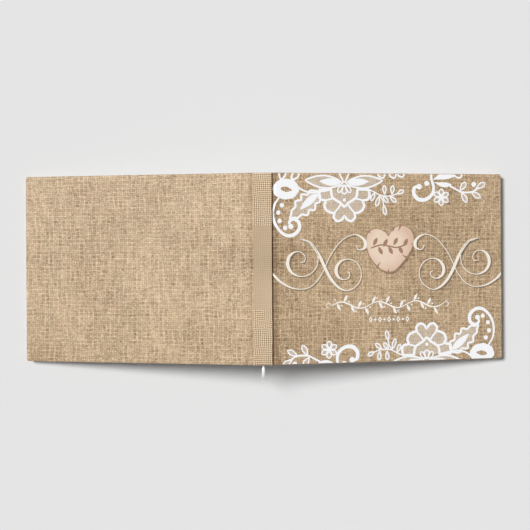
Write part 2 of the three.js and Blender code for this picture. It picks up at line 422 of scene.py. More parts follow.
@dataclass(frozen=True)
class WoodSlice:
    """Pale pink-brown end grain with soft growth rings and a browner rim.

    Attributes:
        name: the material's name.
        centre: the middle of the rings on the sheet, in millimetres.
        pale: the wood's light colour.
        ring: the colour of its rings.
        blush: the colour of its pink patches.
        rim: the colour towards the edge.
        rim_from: how far from the middle the rim's colour starts, in millimetres.
    """

    name: str
    centre: Flat
    pale: Colour = (0.86, 0.71, 0.56)
    ring: Colour = (0.75, 0.55, 0.41)
    blush: Colour = (0.84, 0.62, 0.50)
    rim: Colour = (0.66, 0.42, 0.29)
    rim_from: float = 22.0

    def build(self) -> bpy.types.Material:
        """Makes the material.

        Returns:
            The material.
        """
        graph = Graph(self.name, 0.6)
        across, up = graph.cloth()
        x = graph.math("SUBTRACT", across, self.centre[0])
        y = graph.math("SUBTRACT", up, self.centre[1])
        squares = [graph.math("MULTIPLY", axis, axis) for axis in (x, y)]
        radius = graph.math("SQRT", graph.math("ADD", *squares))
        warp = graph.noise(graph.joined(x, y), 0.09, 3)
        radius = graph.math("MULTIPLY_ADD", warp, 9.0, radius)
        rings = graph.math("MULTIPLY_ADD", graph.math("SINE", graph.math("MULTIPLY", radius, 2.1)), 0.5, 0.5)
        fleck = graph.noise(graph.joined(x, y, 4.0), 0.55, 3, 0.6)
        share = graph.math("MULTIPLY_ADD", fleck, 0.30, graph.math("MULTIPLY", rings, 0.12))
        body = graph.mix(share, self.pale, self.ring)
        blush = graph.noise(graph.joined(x, y, 9.0), 0.07, 2)
        body = graph.mix(graph.stretch(blush, 0.42, 0.62, (0.0, 0.55), smooth=True), body, self.blush)
        edge = graph.stretch(radius, self.rim_from, self.rim_from + 14.0, (0.0, 0.65))
        graph.colour(graph.mix(edge, body, self.rim))
        graph.bump(graph.math("ADD", rings, fleck), mm(0.04), 0.4)
        return graph.material


@dataclass(frozen=True)
class Paper:
    """Uncoated paper or board, with fibres and a soft cloudiness.

    Attributes:
        name: the material's name.
        base: its colour.
        fibre: the colour of its fibres.
        cloud: how much the fibres' colour shows.
        tooth: the height of its roughness, in millimetres.
    """

    name: str
    base: Colour
    fibre: Colour
    cloud: float = 0.25
    tooth: float = 0.02

    def build(self) -> bpy.types.Material:
        """Makes the material.

        Returns:
            The material.
        """
        graph = Graph(self.name, 0.88)
        graph.shader.inputs["Specular IOR Level"].default_value = 0.25
        place = graph.place()
        cloud = graph.noise(place, 0.03, 3, 0.6)
        stretched = graph.node("ShaderNodeVectorMath", operation="MULTIPLY")
        graph.feed(stretched.inputs[0], place)
        stretched.inputs[1].default_value = (1.0, 3.5, 3.5)
        fibres = graph.noise(stretched.outputs[0], 0.9, 4, 0.7)
        share = graph.math("MULTIPLY", graph.math("ADD", cloud, fibres), self.cloud)
        graph.colour(graph.mix(share, self.base, self.fibre))
        graph.bump(fibres, mm(self.tooth), 0.5)
        return graph.material


@dataclass(frozen=True)
class Gauze:
    """Open stiffened cotton gauze."""

    name: str
    base: Colour = (0.80, 0.77, 0.68)
    hole: Colour = (0.34, 0.28, 0.2)
    pitch: float = 0.9

    def build(self) -> bpy.types.Material:
        """Makes the material.

        Returns:
            The material.
        """
        graph = Graph(self.name, 0.95)
        split = graph.node("ShaderNodeSeparateXYZ")
        graph.feed(split.inputs[0], graph.place())
        waves = []
        for axis in split.outputs[:2]:
            turn = graph.math("MULTIPLY", axis, math.pi / self.pitch)
            waves.append(graph.math("ABSOLUTE", graph.math("SINE", turn)))
        hole = graph.stretch(graph.math("MINIMUM", *waves), 0.55, 0.8)
        graph.colour(graph.mix(hole, self.base, self.hole))
        graph.bump(graph.math("SUBTRACT", 1.0, hole), mm(0.1), 0.5)
        return graph.material


@dataclass(frozen=True)
class WoundThread:
    """Thread wound side by side, in two colours by turns, or twisted thread of one colour."""

    name: str
    base: Colour
    second: Colour
    pitch: float = 1.6
    fine: float = 7.0

    def build(self) -> bpy.types.Material:
        """Makes the material.

        Returns:
            The material.
        """
        graph = Graph(self.name, 0.55)
        graph.shader.inputs["Sheen Weight"].default_value = 0.3
        across, up = graph.cloth()
        turn = graph.math("FRACT", graph.math("MULTIPLY", across, 0.5 / self.pitch))
        stripe = graph.stretch(graph.math("ABSOLUTE", graph.math("SUBTRACT", turn, 0.5)), 0.22, 0.28)
        strands = graph.math("SINE", graph.math("MULTIPLY", graph.math("ADD", across, up), self.fine))
        fuzz = graph.noise(graph.joined(across, up), 3.0, 2)
        body = graph.mix(stripe, self.base, self.second)
        # Painted shade: darker in the grooves between the twisted strands, where the bump is low, with some
        # random fuzz in it.
        dim = graph.stretch(graph.math("ADD", strands, fuzz), -1.0, 1.5, (0.35, 0.0))
        graph.colour(graph.mix(dim, body, (0.45, 0.38, 0.28)))
        graph.bump(strands, mm(0.06), 0.5)
        return graph.material


@dataclass(frozen=True)
class Satin:
    """White satin ribbon: fine ribs across it, a woven edge and a soft shine along it."""

    name: str
    base: Colour = (0.93, 0.925, 0.91)
    shade: Colour = (0.74, 0.72, 0.69)
    half_width: float = 1.6

    def build(self) -> bpy.types.Material:
        """Makes the material.

        Returns:
            The material.
        """
        graph = Graph(self.name, 0.36)
        graph.shader.inputs["Sheen Weight"].default_value = 0.5
        graph.shader.inputs["Sheen Roughness"].default_value = 0.4
        graph.shader.inputs["Anisotropic"].default_value = 0.5
        across, along = graph.cloth()
        ribs = graph.math("MULTIPLY_ADD", graph.math("SINE", graph.math("MULTIPLY", along, 14.0)), 0.5, 0.5)
        edge = graph.stretch(graph.math("ABSOLUTE", across), self.half_width - 0.4, self.half_width - 0.15)
        slub = graph.noise(graph.joined(graph.math("MULTIPLY", across, 4.0), along), 1.0, 2)
        share = graph.math("ADD", graph.math("MULTIPLY", ribs, 0.12), graph.math("MULTIPLY", slub, 0.18))
        share = graph.math("MULTIPLY_ADD", edge, 0.22, share, clamp=True)
        graph.colour(graph.mix(share, self.base, self.shade))
        graph.bump(graph.math("ADD", ribs, edge), mm(0.02), 0.5)
        return graph.material


@dataclass(frozen=True)
class Tabletop:
    """The plain pale surface that the book lies on."""

    name: str = "tabletop"
    base: Colour = (0.72, 0.72, 0.72)

    def build(self) -> bpy.types.Material:
        """Makes the material.

        Returns:
            The material.
        """
        graph = Graph(self.name, 0.95)
        graph.shader.inputs["Specular IOR Level"].default_value = 0.0
        graph.colour(self.base)
        return graph.material


class Finish(Enum):
    """Every finish on the book."""

    # The back cover has the same print as the front, in darker colours: painted shade that evens out the
    # stronger light on the back half.
    BACK_BURLAP = BurlapPrint("back_burlap", (0.70, 0.533, 0.352), (0.205, 0.13, 0.068))
    # The front cover's print carries painted shade in its joint and towards the spine.
    FRONT_BURLAP = BurlapPrint("front_burlap", (0.755, 0.566, 0.364), (0.205, 0.125, 0.064), painted_joint_shade=0.65)
    SPINE_BURLAP = BurlapPrint("spine_burlap", (0.81, 0.627, 0.422), (0.17, 0.105, 0.055), (2.25, 2.25),
                               weave=4.0, slubs=0.7, grain=0.5, plain=49.0)
    NET_BURLAP = BurlapPrint("lace_net", (0.755, 0.566, 0.364), (0.205, 0.125, 0.064), slubs=0.7, veil=0.3)
    SHADOW_BURLAP = BurlapPrint("printed_shadow", (0.38, 0.282, 0.181), (0.13, 0.085, 0.05))
    LACE = Ink("lace_white", (0.95, 0.955, 0.97), (0.80, 0.79, 0.78), 0.8, 0.3)
    CREAM = Ink("flourish_cream", (0.93, 0.87, 0.77), (0.76, 0.64, 0.5), 0.7, 0.4)
    WHITE_INK = Ink("ornament_white", (0.95, 0.92, 0.87), (0.84, 0.77, 0.68), 1.2, 0.4)
    ENGRAVING = Ink("heart_engraving", (0.36, 0.205, 0.135), (0.52, 0.33, 0.23), 1.0, 0.6)
    BARK = Ink("heart_bark", (0.36, 0.20, 0.12), (0.56, 0.36, 0.24), 0.8, 0.7)
    HEART_WOOD = WoodSlice("heart_wood", (137.0, 26.0))
    LEAF = Paper("leaf_paper", (0.90, 0.885, 0.84), (0.78, 0.75, 0.69))
    ENDPAPER = Paper("endpaper", (0.92, 0.905, 0.87), (0.82, 0.79, 0.74), 0.2)
    BOARD = Paper("grey_board", (0.36, 0.34, 0.31), (0.22, 0.2, 0.18), 0.5, 0.08)
    KRAFT = Paper("kraft_paper", (0.44, 0.30, 0.17), (0.30, 0.19, 0.1), 0.4, 0.03)
    MULL = Gauze("mull_gauze")
    LINEN = WoundThread("linen_thread", (0.82, 0.78, 0.69), (0.82, 0.78, 0.69), 1.0, 9.0)
    BAND = WoundThread("band_thread", (0.90, 0.88, 0.83), (0.55, 0.40, 0.25), 0.9, 8.0)
    SATIN = Satin("white_satin")

    def material(self) -> bpy.types.Material:
        """This finish's material, made the first time that it is asked for."""
        return bpy.data.materials.get(self.value.name) or self.value.build()


# ---- Mesh helpers ----


def solid_object(name: str, points: Sequence[Vector], faces: Sequence[Sequence[int]], finish: Finish,
                 cloth: Sequence[Flat] | None = None, smooth: bool = False) -> bpy.types.Object:
    """Makes a mesh object with one finish.

    Args:
        name: the piece's name.
        points: its vertices, in the book's frame.
        faces: indices of each face's corners.
        finish: its finish.
        cloth: where each vertex lies on the flat sheet, in metres.
        smooth: whether its faces shade smoothly.

    Returns:
        The new object.
    """
    mesh = bpy.data.meshes.new(name)
    mesh.from_pydata([tuple(point) for point in points], [], [tuple(face) for face in faces])
    if cloth is not None:
        layer = mesh.uv_layers.new(name=CLOTH_UV)
        for loop in mesh.loops:
            layer.data[loop.index].uv = cloth[loop.vertex_index]
    made = bpy.data.objects.new(name, mesh)
    bpy.context.scene.collection.objects.link(made)
    mesh.materials.append(finish.material())
    tidy = bmesh.new()
    tidy.from_mesh(mesh)
    bmesh.ops.recalc_face_normals(tidy, faces=tidy.faces)
    tidy.to_mesh(mesh)
    tidy.free()
    if smooth:
        mesh.shade_smooth()
        mesh.set_sharp_from_angle(angle=math.radians(35))
    return made


def shown(piece: bpy.types.Object, nodes: Iterable[str] = ()) -> bpy.types.Object:
    """Says which CAD nodes a piece stands for, hides them, and logs it.

    Args:
        piece: the visible piece.
        nodes: the CAD nodes it stands for.

    Returns:
        The same piece.
    """
    nodes = list(nodes)
    if nodes:
        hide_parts(*nodes)
    LOG.info("%s: %d faces, stands for %s", piece.name, len(piece.data.polygons), nodes or "no node")
    return piece


def smooth_line(points: Sequence[Sequence[float]], steps: int = 6, closed: bool = False) -> list[Vector]:
    """A Catmull-Rom curve through points.

    Args:
        points: two or three numbers each.
        steps: how many pieces each stretch is cut into.
        closed: whether the last point joins the first.

    Returns:
        The curve's points, without a repeat of the first when it is closed.
    """
    given = [Vector(point) for point in points]
    count = len(given)
    out: list[Vector] = []
    for i in range(count if closed else count - 1):
        if closed:
            a, b, c, d = (given[(i + k) % count] for k in (-1, 0, 1, 2))
        else:
            b, c = given[i], given[i + 1]
            a = given[i - 1] if i else b * 2 - c
            d = given[i + 2] if i + 2 < count else c * 2 - b
        for k in range(steps):
            t = k / steps
            out.append(0.5 * ((b * 2) + (c - a) * t + (a * 2 - b * 5 + c * 4 - d) * t * t
                              + (b * 3 - a - c * 3 + d) * t * t * t))
    if not closed:
        out.append(given[-1])
    return out


def thick_strip(section: Sequence[Flat], thickness: float) -> tuple[list[Flat], list[Flat]]:
    """The two sides of a thin sheet's section that follows a line.

    Args:
        section: the line down the sheet's middle.
        thickness: the sheet's thickness.

    Returns:
        Its left side and its right side, point for point.
    """
    left, right = [], []
    for i, (x, y) in enumerate(section):
        before, after = section[max(i - 1, 0)], section[min(i + 1, len(section) - 1)]
        dx, dy = after[0] - before[0], after[1] - before[1]
        length = math.hypot(dx, dy) or 1.0
        nx, ny = -dy / length * thickness / 2, dx / length * thickness / 2
        left.append((x + nx, y + ny))
        right.append((x - nx, y - ny))
    return left, right


class ShellMesh:
    """Collects thin closed sheets, each a section carried along a row of places."""

    def __init__(self) -> None:
        """Starts with nothing."""
        self.points: list[Vector] = []
        self.cloth: list[Flat] = []
        self.faces: list[tuple[int, ...]] = []

    def sheet(self, left: Sequence[Flat], right: Sequence[Flat], stations: Sequence[float],
              to_book: Callable[[float, float, float], Vector]) -> None:
        """Adds a sheet.

        Args:
            left: one side of its section.
            right: the other side, point for point.
            stations: where the section stands, in order.
            to_book: turns a section point and a station into the book's frame.
        """
        first, count = len(self.points), len(left)
        run = [0.0]
        for a, b in zip(left, left[1:]):
            run.append(run[-1] + math.dist(a, b))
        for station in stations:
            for side in (left, right):
                for i, (x, y) in enumerate(side):
                    self.points.append(to_book(x, y, station))
                    self.cloth.append((run[i], station))
        row = 2 * count
        for j in range(len(stations) - 1):
            here, there = first + j * row, first + (j + 1) * row
            for i in range(count - 1):
                self.faces.append((here + i, here + i + 1, there + i + 1, there + i))
                near, far = here + count + i, there + count + i
                self.faces.append((near + 1, near, far, far + 1))
            for i in (0, count - 1):
                self.faces.append((here + i, here + count + i, there + count + i, there + i))
        for base in (first, first + (len(stations) - 1) * row):
            for i in range(count - 1):
                self.faces.append((base + i, base + i + 1, base + count + i + 1, base + count + i))

    def finish(self, name: str, finish: Finish, smooth: bool = True) -> bpy.types.Object:
        """Makes the object."""
        return solid_object(name, self.points, self.faces, finish, self.cloth, smooth)


# ---- The halves' flat frames ----


@dataclass(frozen=True)
class HalfFrame:
    """The flat frame of one half of the open book.

    Attributes:
        name: front or back.
        side: 1 on the front cover's side and -1 on the back cover's.
        hinge: how far the spine's edge lies from the middle, and how high, in metres.
        tilt: how steeply the half falls away from the spine, in radians.
    """

    name: str
    side: int
    hinge: Flat
    tilt: float

    @classmethod
    def from_record(cls, record: dict, name: str, side: int) -> HalfFrame:
        """Reads a half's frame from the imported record.

        Args:
            record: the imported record.
            name: front or back.
            side: 1 or -1.

        Returns:
            The frame.
        """
        joint = next(j for j in record["behaviour"]["joints"] if j["name"] == f"{name}_half_closing")
        face = next(m for m in record["mounts"] if m["name"] == f"{name}_cover_face")
        x, _, z = joint["pos_m"]
        normal = face["axis"]
        return cls(name, side, (abs(x), z), math.atan2(abs(normal[0]), normal[2]))

    def at(self, out: float, along: float, depth: float) -> Vector:
        """A point of this half in the book's frame.

        Args:
            out: the distance from the spine's edge.
            along: the distance towards the head.
            depth: the distance below the outer face.

        Returns:
            The point.
        """
        across = self.hinge[0] + out * math.cos(self.tilt) - depth * math.sin(self.tilt)
        up = self.hinge[1] - out * math.sin(self.tilt) - depth * math.cos(self.tilt)
        return Vector((self.side * across, along, up))

    def section(self, out: float, depth: float, along: float) -> Vector:
        """A section's point in the book's frame, at a place along the half."""
        return self.at(out, along, depth)

    def span(self, node: bpy.types.Object) -> tuple[Corner, Corner]:
        """A CAD node's lowest and highest out, along and depth.

        Args:
            node: the CAD node's object.

        Returns:
            The two corners.
        """
        points = np.array([vertex.co for vertex in node.data.vertices], float)
        x, z = points[:, 0] * self.side - self.hinge[0], points[:, 2] - self.hinge[1]
        out = x * math.cos(self.tilt) - z * math.sin(self.tilt)
        depth = -x * math.sin(self.tilt) - z * math.cos(self.tilt)
        flat = np.stack([out, points[:, 1], depth], axis=1)
        return tuple(flat.min(0).tolist()), tuple(flat.max(0).tolist())


# ---- The covers ----


@dataclass
class Cover:
    """One cover: its printed sheet with rounded edges and turn-ins, its joint and its endpaper's hinge.

    Attributes:
        half: the half that it belongs to.
        nodes: the CAD nodes by name.
        burlap: the finish of its printed sheet.
        corner: the radius of its fore-edge corners.
        edge: the radius that the sheet takes round the board's edges.
        sheet: the sheet's thickness.
        groove: how deep the joint is pressed in.
        overlap: how far the sheets run on at the spine's edge and the board's edge, to close the joint.
    """

    half: HalfFrame
    nodes: dict[str, bpy.types.Object]
    burlap: Finish
    corner: float = mm(2.5)
    edge: float = mm(0.7)
    sheet: float = mm(0.38)
    groove: float = mm(2.2)
    overlap: float = mm(0.15)

    def __post_init__(self) -> None:
        """Reads the cover's sizes from its CAD nodes."""
        name = self.half.name
        low, high = self.half.span(self.nodes[f"{name}_cover_wrap"])
        self.start, self.end = low[0] - self.overlap, high[0]
        self.half_height, self.thickness = high[1], high[2]
        joint_low, joint_high = self.half.span(self.nodes[f"{name}_joint_cloth"])
        self.middle = (joint_low[0] + joint_high[0]) / 2

    def outline(self, inset: float) -> list[Flat]:
        """The cover's three free edges, from the tail round the fore-edge to the head, set in.

        Args:
            inset: how far in it is set.

        Returns:
            The outline's points.
        """
        radius = max(self.corner - inset, mm(0.15))
        right, top = self.end - inset - radius, self.half_height - inset - radius
        points: list[Flat] = [(self.start, -top - radius)]
        for side in (-1, 1):
            for i in range(9):
                angle = (i / 8 if side > 0 else i / 8 - 1) * math.pi / 2
                points.append((right + radius * math.cos(angle), side * top + radius * math.sin(angle)))
        points.append((self.start, top + radius))
        return points

    def wrap(self) -> bpy.types.Object:
        """The printed sheet over the board, round its edges and in behind it.

        Returns:
            The piece.
        """
        r, t, deep = self.edge, self.sheet, self.thickness
        turned_in = self.turn_in()
        quarter = [i / 4 * math.pi / 2 for i in range(5)]
        outer = [(r - r * math.sin(a), r - r * math.cos(a)) for a in quarter]
        outer += [(r - r * math.cos(a), deep - r + r * math.sin(a)) for a in quarter]
        inner = [(r - (r - t) * math.sin(a), r - (r - t) * math.cos(a)) for a in quarter]
        inner += [(r - (r - t) * math.cos(a), deep - r + (r - t) * math.sin(a)) for a in quarter]
        outer.append((turned_in, deep))
        inner.append((turned_in, deep - t))
        rings = [self.outline(inset) for inset, _ in outer]
        run = [0.0]
        for a, b in zip(outer, outer[1:]):
            run.append(run[-1] + math.dist(a, b))
        flat = [self.outline(outer[0][0] - length) for length in run]
        points: list[Vector] = []
        cloth: list[Flat] = []
        for ring, sheet, (_, depth) in zip(rings, flat, outer):
            points += [self.half.at(x, y, depth) for x, y in ring]
            cloth += sheet
        for (inset, depth), sheet in zip(inner, flat):
            points += [self.half.at(x, y, depth) for x, y in self.outline(inset)]
            cloth += sheet
        count, stages = len(rings[0]), len(outer)
        lower = count * stages
        faces: list[tuple[int, ...]] = []
        for j in range(stages - 1):
            for i in range(count - 1):
                a, b = j * count + i, (j + 1) * count + i
                faces.append((a, a + 1, b + 1, b))
                faces.append((lower + a + 1, lower + a, lower + b, lower + b + 1))
            for i in (0, count - 1):
                a, b = j * count + i, (j + 1) * count + i
                faces.append((a, b, lower + b, lower + a))
        last = (stages - 1) * count
        for i in range(count - 1):
            faces.append((last + i, last + i + 1, lower + last + i + 1, lower + last + i))
        faces.append(tuple(range(count)))
        faces.append(tuple(lower + i for i in reversed(range(count))))
        faces.append((0, lower, lower + count - 1, count - 1))
        piece = solid_object(f"{self.half.name}_cover_sheet", points, faces, self.burlap, cloth, smooth=True)
        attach(piece, f"{self.half.name}_cover")
        return shown(piece, [f"{self.half.name}_cover_wrap"])

    def turn_in(self) -> float:
        """How far the sheet is turned in behind the board, from the CAD sheet's inner edge.

        Returns:
            The distance from the spine's edge.
        """
        node = self.nodes[f"{self.half.name}_cover_wrap"]
        ys = sorted({round(abs(vertex.co.y), 5) for vertex in node.data.vertices})
        return self.half_height - ys[0]

    def groove_depth(self, out: float) -> float:
        """How deep the sheet's outer face lies at a distance from the spine's edge.

        Args:
            out: the distance from the spine's edge.

        Returns:
            The depth.
        """
        wall, floor = mm(1.1), mm(1.9)
        if out <= 0 or out >= self.start:
            return 0.0
        if out > floor:
            return self.groove * ((self.start - out) / (self.start - floor)) ** 3
        share = min(out / wall, 1.0)
        return self.groove * share * share * (3 - 2 * share)

    def joint(self) -> list[bpy.types.Object]:
        """The sheet across the joint, as two strips that meet in the bottom of the groove.

        Returns:
            The inner and the outer strip.
        """
        name = self.half.name
        spans = {
            "inner": (0.0, self.middle, "spine"),
            "outer": (self.middle, self.start, f"{name}_cover"),
        }
        made = []
        for part, (low, high, body) in spans.items():
            count = 14
            outs = [low + (high - low) * i / count for i in range(count + 1)]
            line = [(out, self.groove_depth(out) + self.sheet / 2) for out in outs]
            shell = ShellMesh()
            left, right = thick_strip(line, self.sheet)
            reach = self.half_height
            ends = [-reach + 2 * reach * i / 12 for i in range(13)]
            shell.sheet(left, right, ends, self.half.section)
            shell.cloth = [(low + u, v) for u, v in shell.cloth]
            piece = shell.finish(f"{name}_joint_{part}", self.burlap)
            self.bend(piece, part, body)
            made.append(shown(piece, [f"{name}_joint_cloth"]))
        return made

    def bend(self, piece: bpy.types.Object, part: str, body: str) -> None:
        """Fixes a piece of the joint, or of the print over it, in the book's frame where it stands.

        Args:
            piece: the piece, in place.
            part: inner or outer.
            body: not used.
        """
        near = self.half.at(self.middle, 0, 0)
        far = self.half.at(0.0 if part == "inner" else self.start, 0, 0)
        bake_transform(piece)

    def endpaper_hinge(self) -> bpy.types.Object:
        """The endpaper where it crosses from the flyleaf to the pastedown.

        Returns:
            The piece.
        """
        name = self.half.name
        paste_low, paste_high = self.half.span(self.nodes[f"{name}_pastedown"])
        fly_low, fly_high = self.half.span(self.nodes[f"{name}_flyleaf"])
        start = (fly_low[0], (fly_low[2] + fly_high[2]) / 2)
        end = (paste_low[0], (paste_low[2] + paste_high[2]) / 2)
        line = []
        for i in range(17):
            eased = 0.5 - 0.5 * math.cos(math.pi * i / 16)
            line.append((start[0] + (end[0] - start[0]) * i / 16, start[1] + (end[1] - start[1]) * eased))
        shell = ShellMesh()
        left, right = thick_strip(line, (fly_high[2] - fly_low[2]) * 0.9)
        reach = fly_high[1]
        shell.sheet(left, right, [-reach, 0.0, reach], self.half.section)
        piece = shell.finish(f"{name}_endpaper_hinge", Finish.ENDPAPER)
        self.half.at(start[0], 0, start[1])
        self.half.at(end[0], 0, start[1])
        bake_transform(piece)
        return shown(piece)

    def build(self) -> None:
        """Makes the cover's pieces and finishes its kept CAD nodes."""
        name = self.half.name
        self.wrap()
        self.joint()
        self.endpaper_hinge()
        for node, finish in ((f"{name}_board", Finish.BOARD), (f"{name}_pastedown", Finish.ENDPAPER)):
            dress_node(self.nodes[node], finish)


def dress_node(node: bpy.types.Object, finish: Finish) -> None:
    """Gives a kept CAD node its finish.

    Args:
        node: the CAD node's object.
        finish: its finish.
    """
    node.data.materials.clear()
    node.data.materials.append(finish.material())
    LOG.info("%s: kept, finished as %s", node.name, finish.value.name)


# ---- The printed artwork ----


class FlatArt:
    """Artwork drawn flat, in millimetres out from the spine's edge and up from the cover's middle.

    Each stroke lies a hair above the one before it, on eleven heights in turn, so that no two of eleven
    strokes drawn one after another share a plane.
    """

    STEP = 0.003
    LEVELS = 11

    def __init__(self, lift: float) -> None:
        """Starts a drawing.

        Args:
            lift: how far its lowest stroke stands off the sheet, in millimetres.
        """
        self.bm = bmesh.new()
        self.lift = lift
        self.level = 0
        self.turned = False

    def height(self) -> float:
        """The next stroke's height above the sheet, in millimetres."""
        self.level = (self.level + 1) % self.LEVELS
        return self.lift + self.level * self.STEP

    def placed(self, point: Sequence[float]) -> Flat:
        """A drawn point where it goes on the cover, turned half round for the lace at the tail.

        Args:
            point: the drawn point.

        Returns:
            The point on the cover.
        """
        if self.turned:
            return (272.8 - point[0], -12.0 - point[1])
        return (point[0], point[1])

    def stroke(self, points: Sequence[Sequence[float]], width: float | Sequence[float],
               closed: bool = False) -> None:
        """Draws a line of even or changing width with round ends.

        Args:
            points: the line's middle.
            width: its width, or its width at each point.
            closed: whether it joins up.
        """
        line = [Vector(self.placed(point)) for point in points]
        count, z = len(line), self.height()
        widths = [width] * count if isinstance(width, (int, float)) else list(width)
        sides: list[tuple[bmesh.types.BMVert, bmesh.types.BMVert]] = []
        for i, point in enumerate(line):
            before = line[(i - 1) % count] if closed or i else point
            after = line[(i + 1) % count] if closed or i < count - 1 else point
            run = (after - before).normalized()
            normal = Vector((-run.y, run.x)) * widths[i] / 2
            sides.append(tuple(self.bm.verts.new((*(point + normal * sign), z)) for sign in (1, -1)))
        for i in range(count if closed else count - 1):
            a, b = sides[i], sides[(i + 1) % count]
            self.bm.faces.new((a[0], a[1], b[1], b[0]))
        if not closed:
            for end, inward in ((0, 1), (-1, -2)):
                self.cap(line[end], line[end] - line[inward], sides[end], widths[end] / 2, z)

    def cap(self, centre: Vector, heading: Vector, side: tuple, radius: float, z: float) -> None:
        """Rounds off a stroke's end.

        Args:
            centre: the end's middle.
            heading: the way the stroke runs out.
            side: the way across it.
            radius: half its width.
            z: its height.
        """
        angle = math.atan2(heading.y, heading.x)
        rim = []
        for i in range(1, 4):
            turn = angle + math.pi / 2 - i * math.pi / 4
            x, y = centre.x + radius * math.cos(turn), centre.y + radius * math.sin(turn)
            rim.append(self.bm.verts.new((x, y, z)))
        first, last = side
        if (Vector(first.co.xy) - centre).angle_signed(heading, 0) < 0:
            first, last = last, first
        self.bm.faces.new((first, *rim, last))

    def area(self, points: Sequence[Sequence[float]], hole: Sequence[Sequence[float]] = ()) -> None:
        """Fills an outline.

        Args:
            points: the outline.
            hole: the outline of an opening in it, if it has one.
        """
        z = self.height()
        loops = [[self.placed(point) for point in loop] for loop in (points, hole) if loop]
        verts = [self.bm.verts.new((x, y, z)) for loop in loops for x, y in loop]
        for triangle in geometry.tessellate_polygon([[Vector((x, y, 0)) for x, y in loop] for loop in loops]):
            self.bm.faces.new([verts[i] for i in triangle])

    def dot(self, centre: Sequence[float], radius: float) -> None:
        """Draws a round spot.

        Args:
            centre: its middle.
            radius: its radius.
        """
        x, y = centre
        turns = [i * math.pi / 9 for i in range(18)]
        self.area([(x + radius * math.cos(turn), y + radius * math.sin(turn)) for turn in turns])

    def zone(self, low: float, high: float, reach: float, cuts: Sequence[float]) -> bmesh.types.BMesh:
        """A copy of the drawing cut to a stretch of the cover.

        Args:
            low: the stretch's start, in millimetres out.
            high: its end.
            reach: how far it runs each way from the middle of the cover.
            cuts: further places to cut it, so that it can bend.

        Returns:
            The copy.
        """
        part = self.bm.copy()
        walls = (((low, 0, 0), (-1, 0, 0)), ((high, 0, 0), (1, 0, 0)),
                 ((0, reach, 0), (0, 1, 0)), ((0, -reach, 0), (0, -1, 0)))
        for place, normal in walls:
            bmesh.ops.bisect_plane(part, geom=part.verts[:] + part.edges[:] + part.faces[:], plane_co=place,
                                   plane_no=normal, clear_outer=True)
        for cut in cuts:
            bmesh.ops.bisect_plane(part, geom=part.verts[:] + part.edges[:] + part.faces[:],
                                   plane_co=(cut, 0, 0), plane_no=(1, 0, 0))
        return part

    def print_on(self, cover: Cover, name: str, finish: Finish,
                 film: float = 0.012) -> list[bpy.types.Object]:
        """Lays the drawing on a cover and across its joint, as a thin film of ink.

        Args:
            cover: the cover.
            name: the piece's name.
            finish: its finish.
            film: the film's thickness, in millimetres.

        Returns:
            One piece on the cover, and up to two across the joint.
        """
        start, middle = cover.start / MM, cover.middle / MM
        edge = cover.edge / MM
        reach = cover.half_height / MM - edge
        bends = [0.35 * i for i in range(1, int(start / 0.35) + 1)]
        zones = (("", start, cover.end / MM - edge, ()),
                 ("_over_joint", middle, start, [x for x in bends if middle < x < start]),
                 ("_by_spine", 0.12, middle, [x for x in bends if x < middle]))
        made = []
        for suffix, low, high, cuts in zones:
            part = self.zone(low, high, reach, cuts)
            if part.faces:
                made.append(self.lay(part, cover, name + suffix, finish, film))
                if suffix == "":
                    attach(made[-1], f"{cover.half.name}_cover")
                elif suffix == "_over_joint":
                    cover.bend(made[-1], "outer", f"{cover.half.name}_cover")
                else:
                    cover.bend(made[-1], "inner", "spine")
                shown(made[-1])
            part.free()
        return made

    @staticmethod
    def lay(part: bmesh.types.BMesh, cover: Cover, name: str, finish: Finish,
            film: float) -> bpy.types.Object:
        """Turns a cut drawing into a closed film on the cover's face.

        Args:
            part: the cut drawing.
            cover: the cover.
            name: the piece's name.
            finish: its finish.
            film: its thickness, in millimetres.

        Returns:
            The piece.
        """
        bmesh.ops.triangulate(part, faces=part.faces)
        bmesh.ops.remove_doubles(part, verts=part.verts, dist=1e-4)
        bmesh.ops.dissolve_degenerate(part, dist=1e-4, edges=part.edges)
        count = len(part.verts)
        part.verts.index_update()
        flat = [vertex.co.copy() for vertex in part.verts]
        tops = [tuple(v.index for v in face.verts) for face in part.faces]
        rims = [(edge.verts[0].index, edge.verts[1].index) for edge in part.edges
                if len(edge.link_faces) == 1]
        points, cloth = [], []
        for drop in (0.0, film):
            for x, y, z in flat:
                depth = cover.groove_depth(mm(x)) - mm(z - drop)
                points.append(cover.half.at(mm(x), mm(y), depth))
                cloth.append((mm(x), mm(y)))
        faces = tops + [tuple(count + i for i in reversed(face)) for face in tops]
        faces += [(a, b, count + b, count + a) for a, b in rims]
        return solid_object(name, points, faces, finish, cloth)


def pointed(base: Flat, tip: Flat, width: float, belly: float = 0.5, steps: int = 10,
            bend: float = 0.0) -> list[Flat]:
    """The outline of a pointed leaf or petal.

    Args:
        base: where it starts.
        tip: where it ends.
        width: its greatest width.
        belly: where along it the greatest width lies, from 0 to 1.
        steps: how many points each side has.
        bend: how far its middle is pushed sideways.

    Returns:
        The outline.
    """
    a, b = Vector(base), Vector(tip)
    run = b - a
    across = Vector((-run.y, run.x)).normalized()
    power = math.log(0.5) / math.log(belly)
    one, other = [], []
    for i in range(steps + 1):
        t = i / steps
        swell = math.sin(math.pi * t ** power) ** 0.85 * width / 2
        spine = a + run * t + across * bend * math.sin(math.pi * t)
        one.append(tuple(spine + across * swell))
        other.append(tuple(spine - across * swell))
    return one + other[::-1][1:-1]


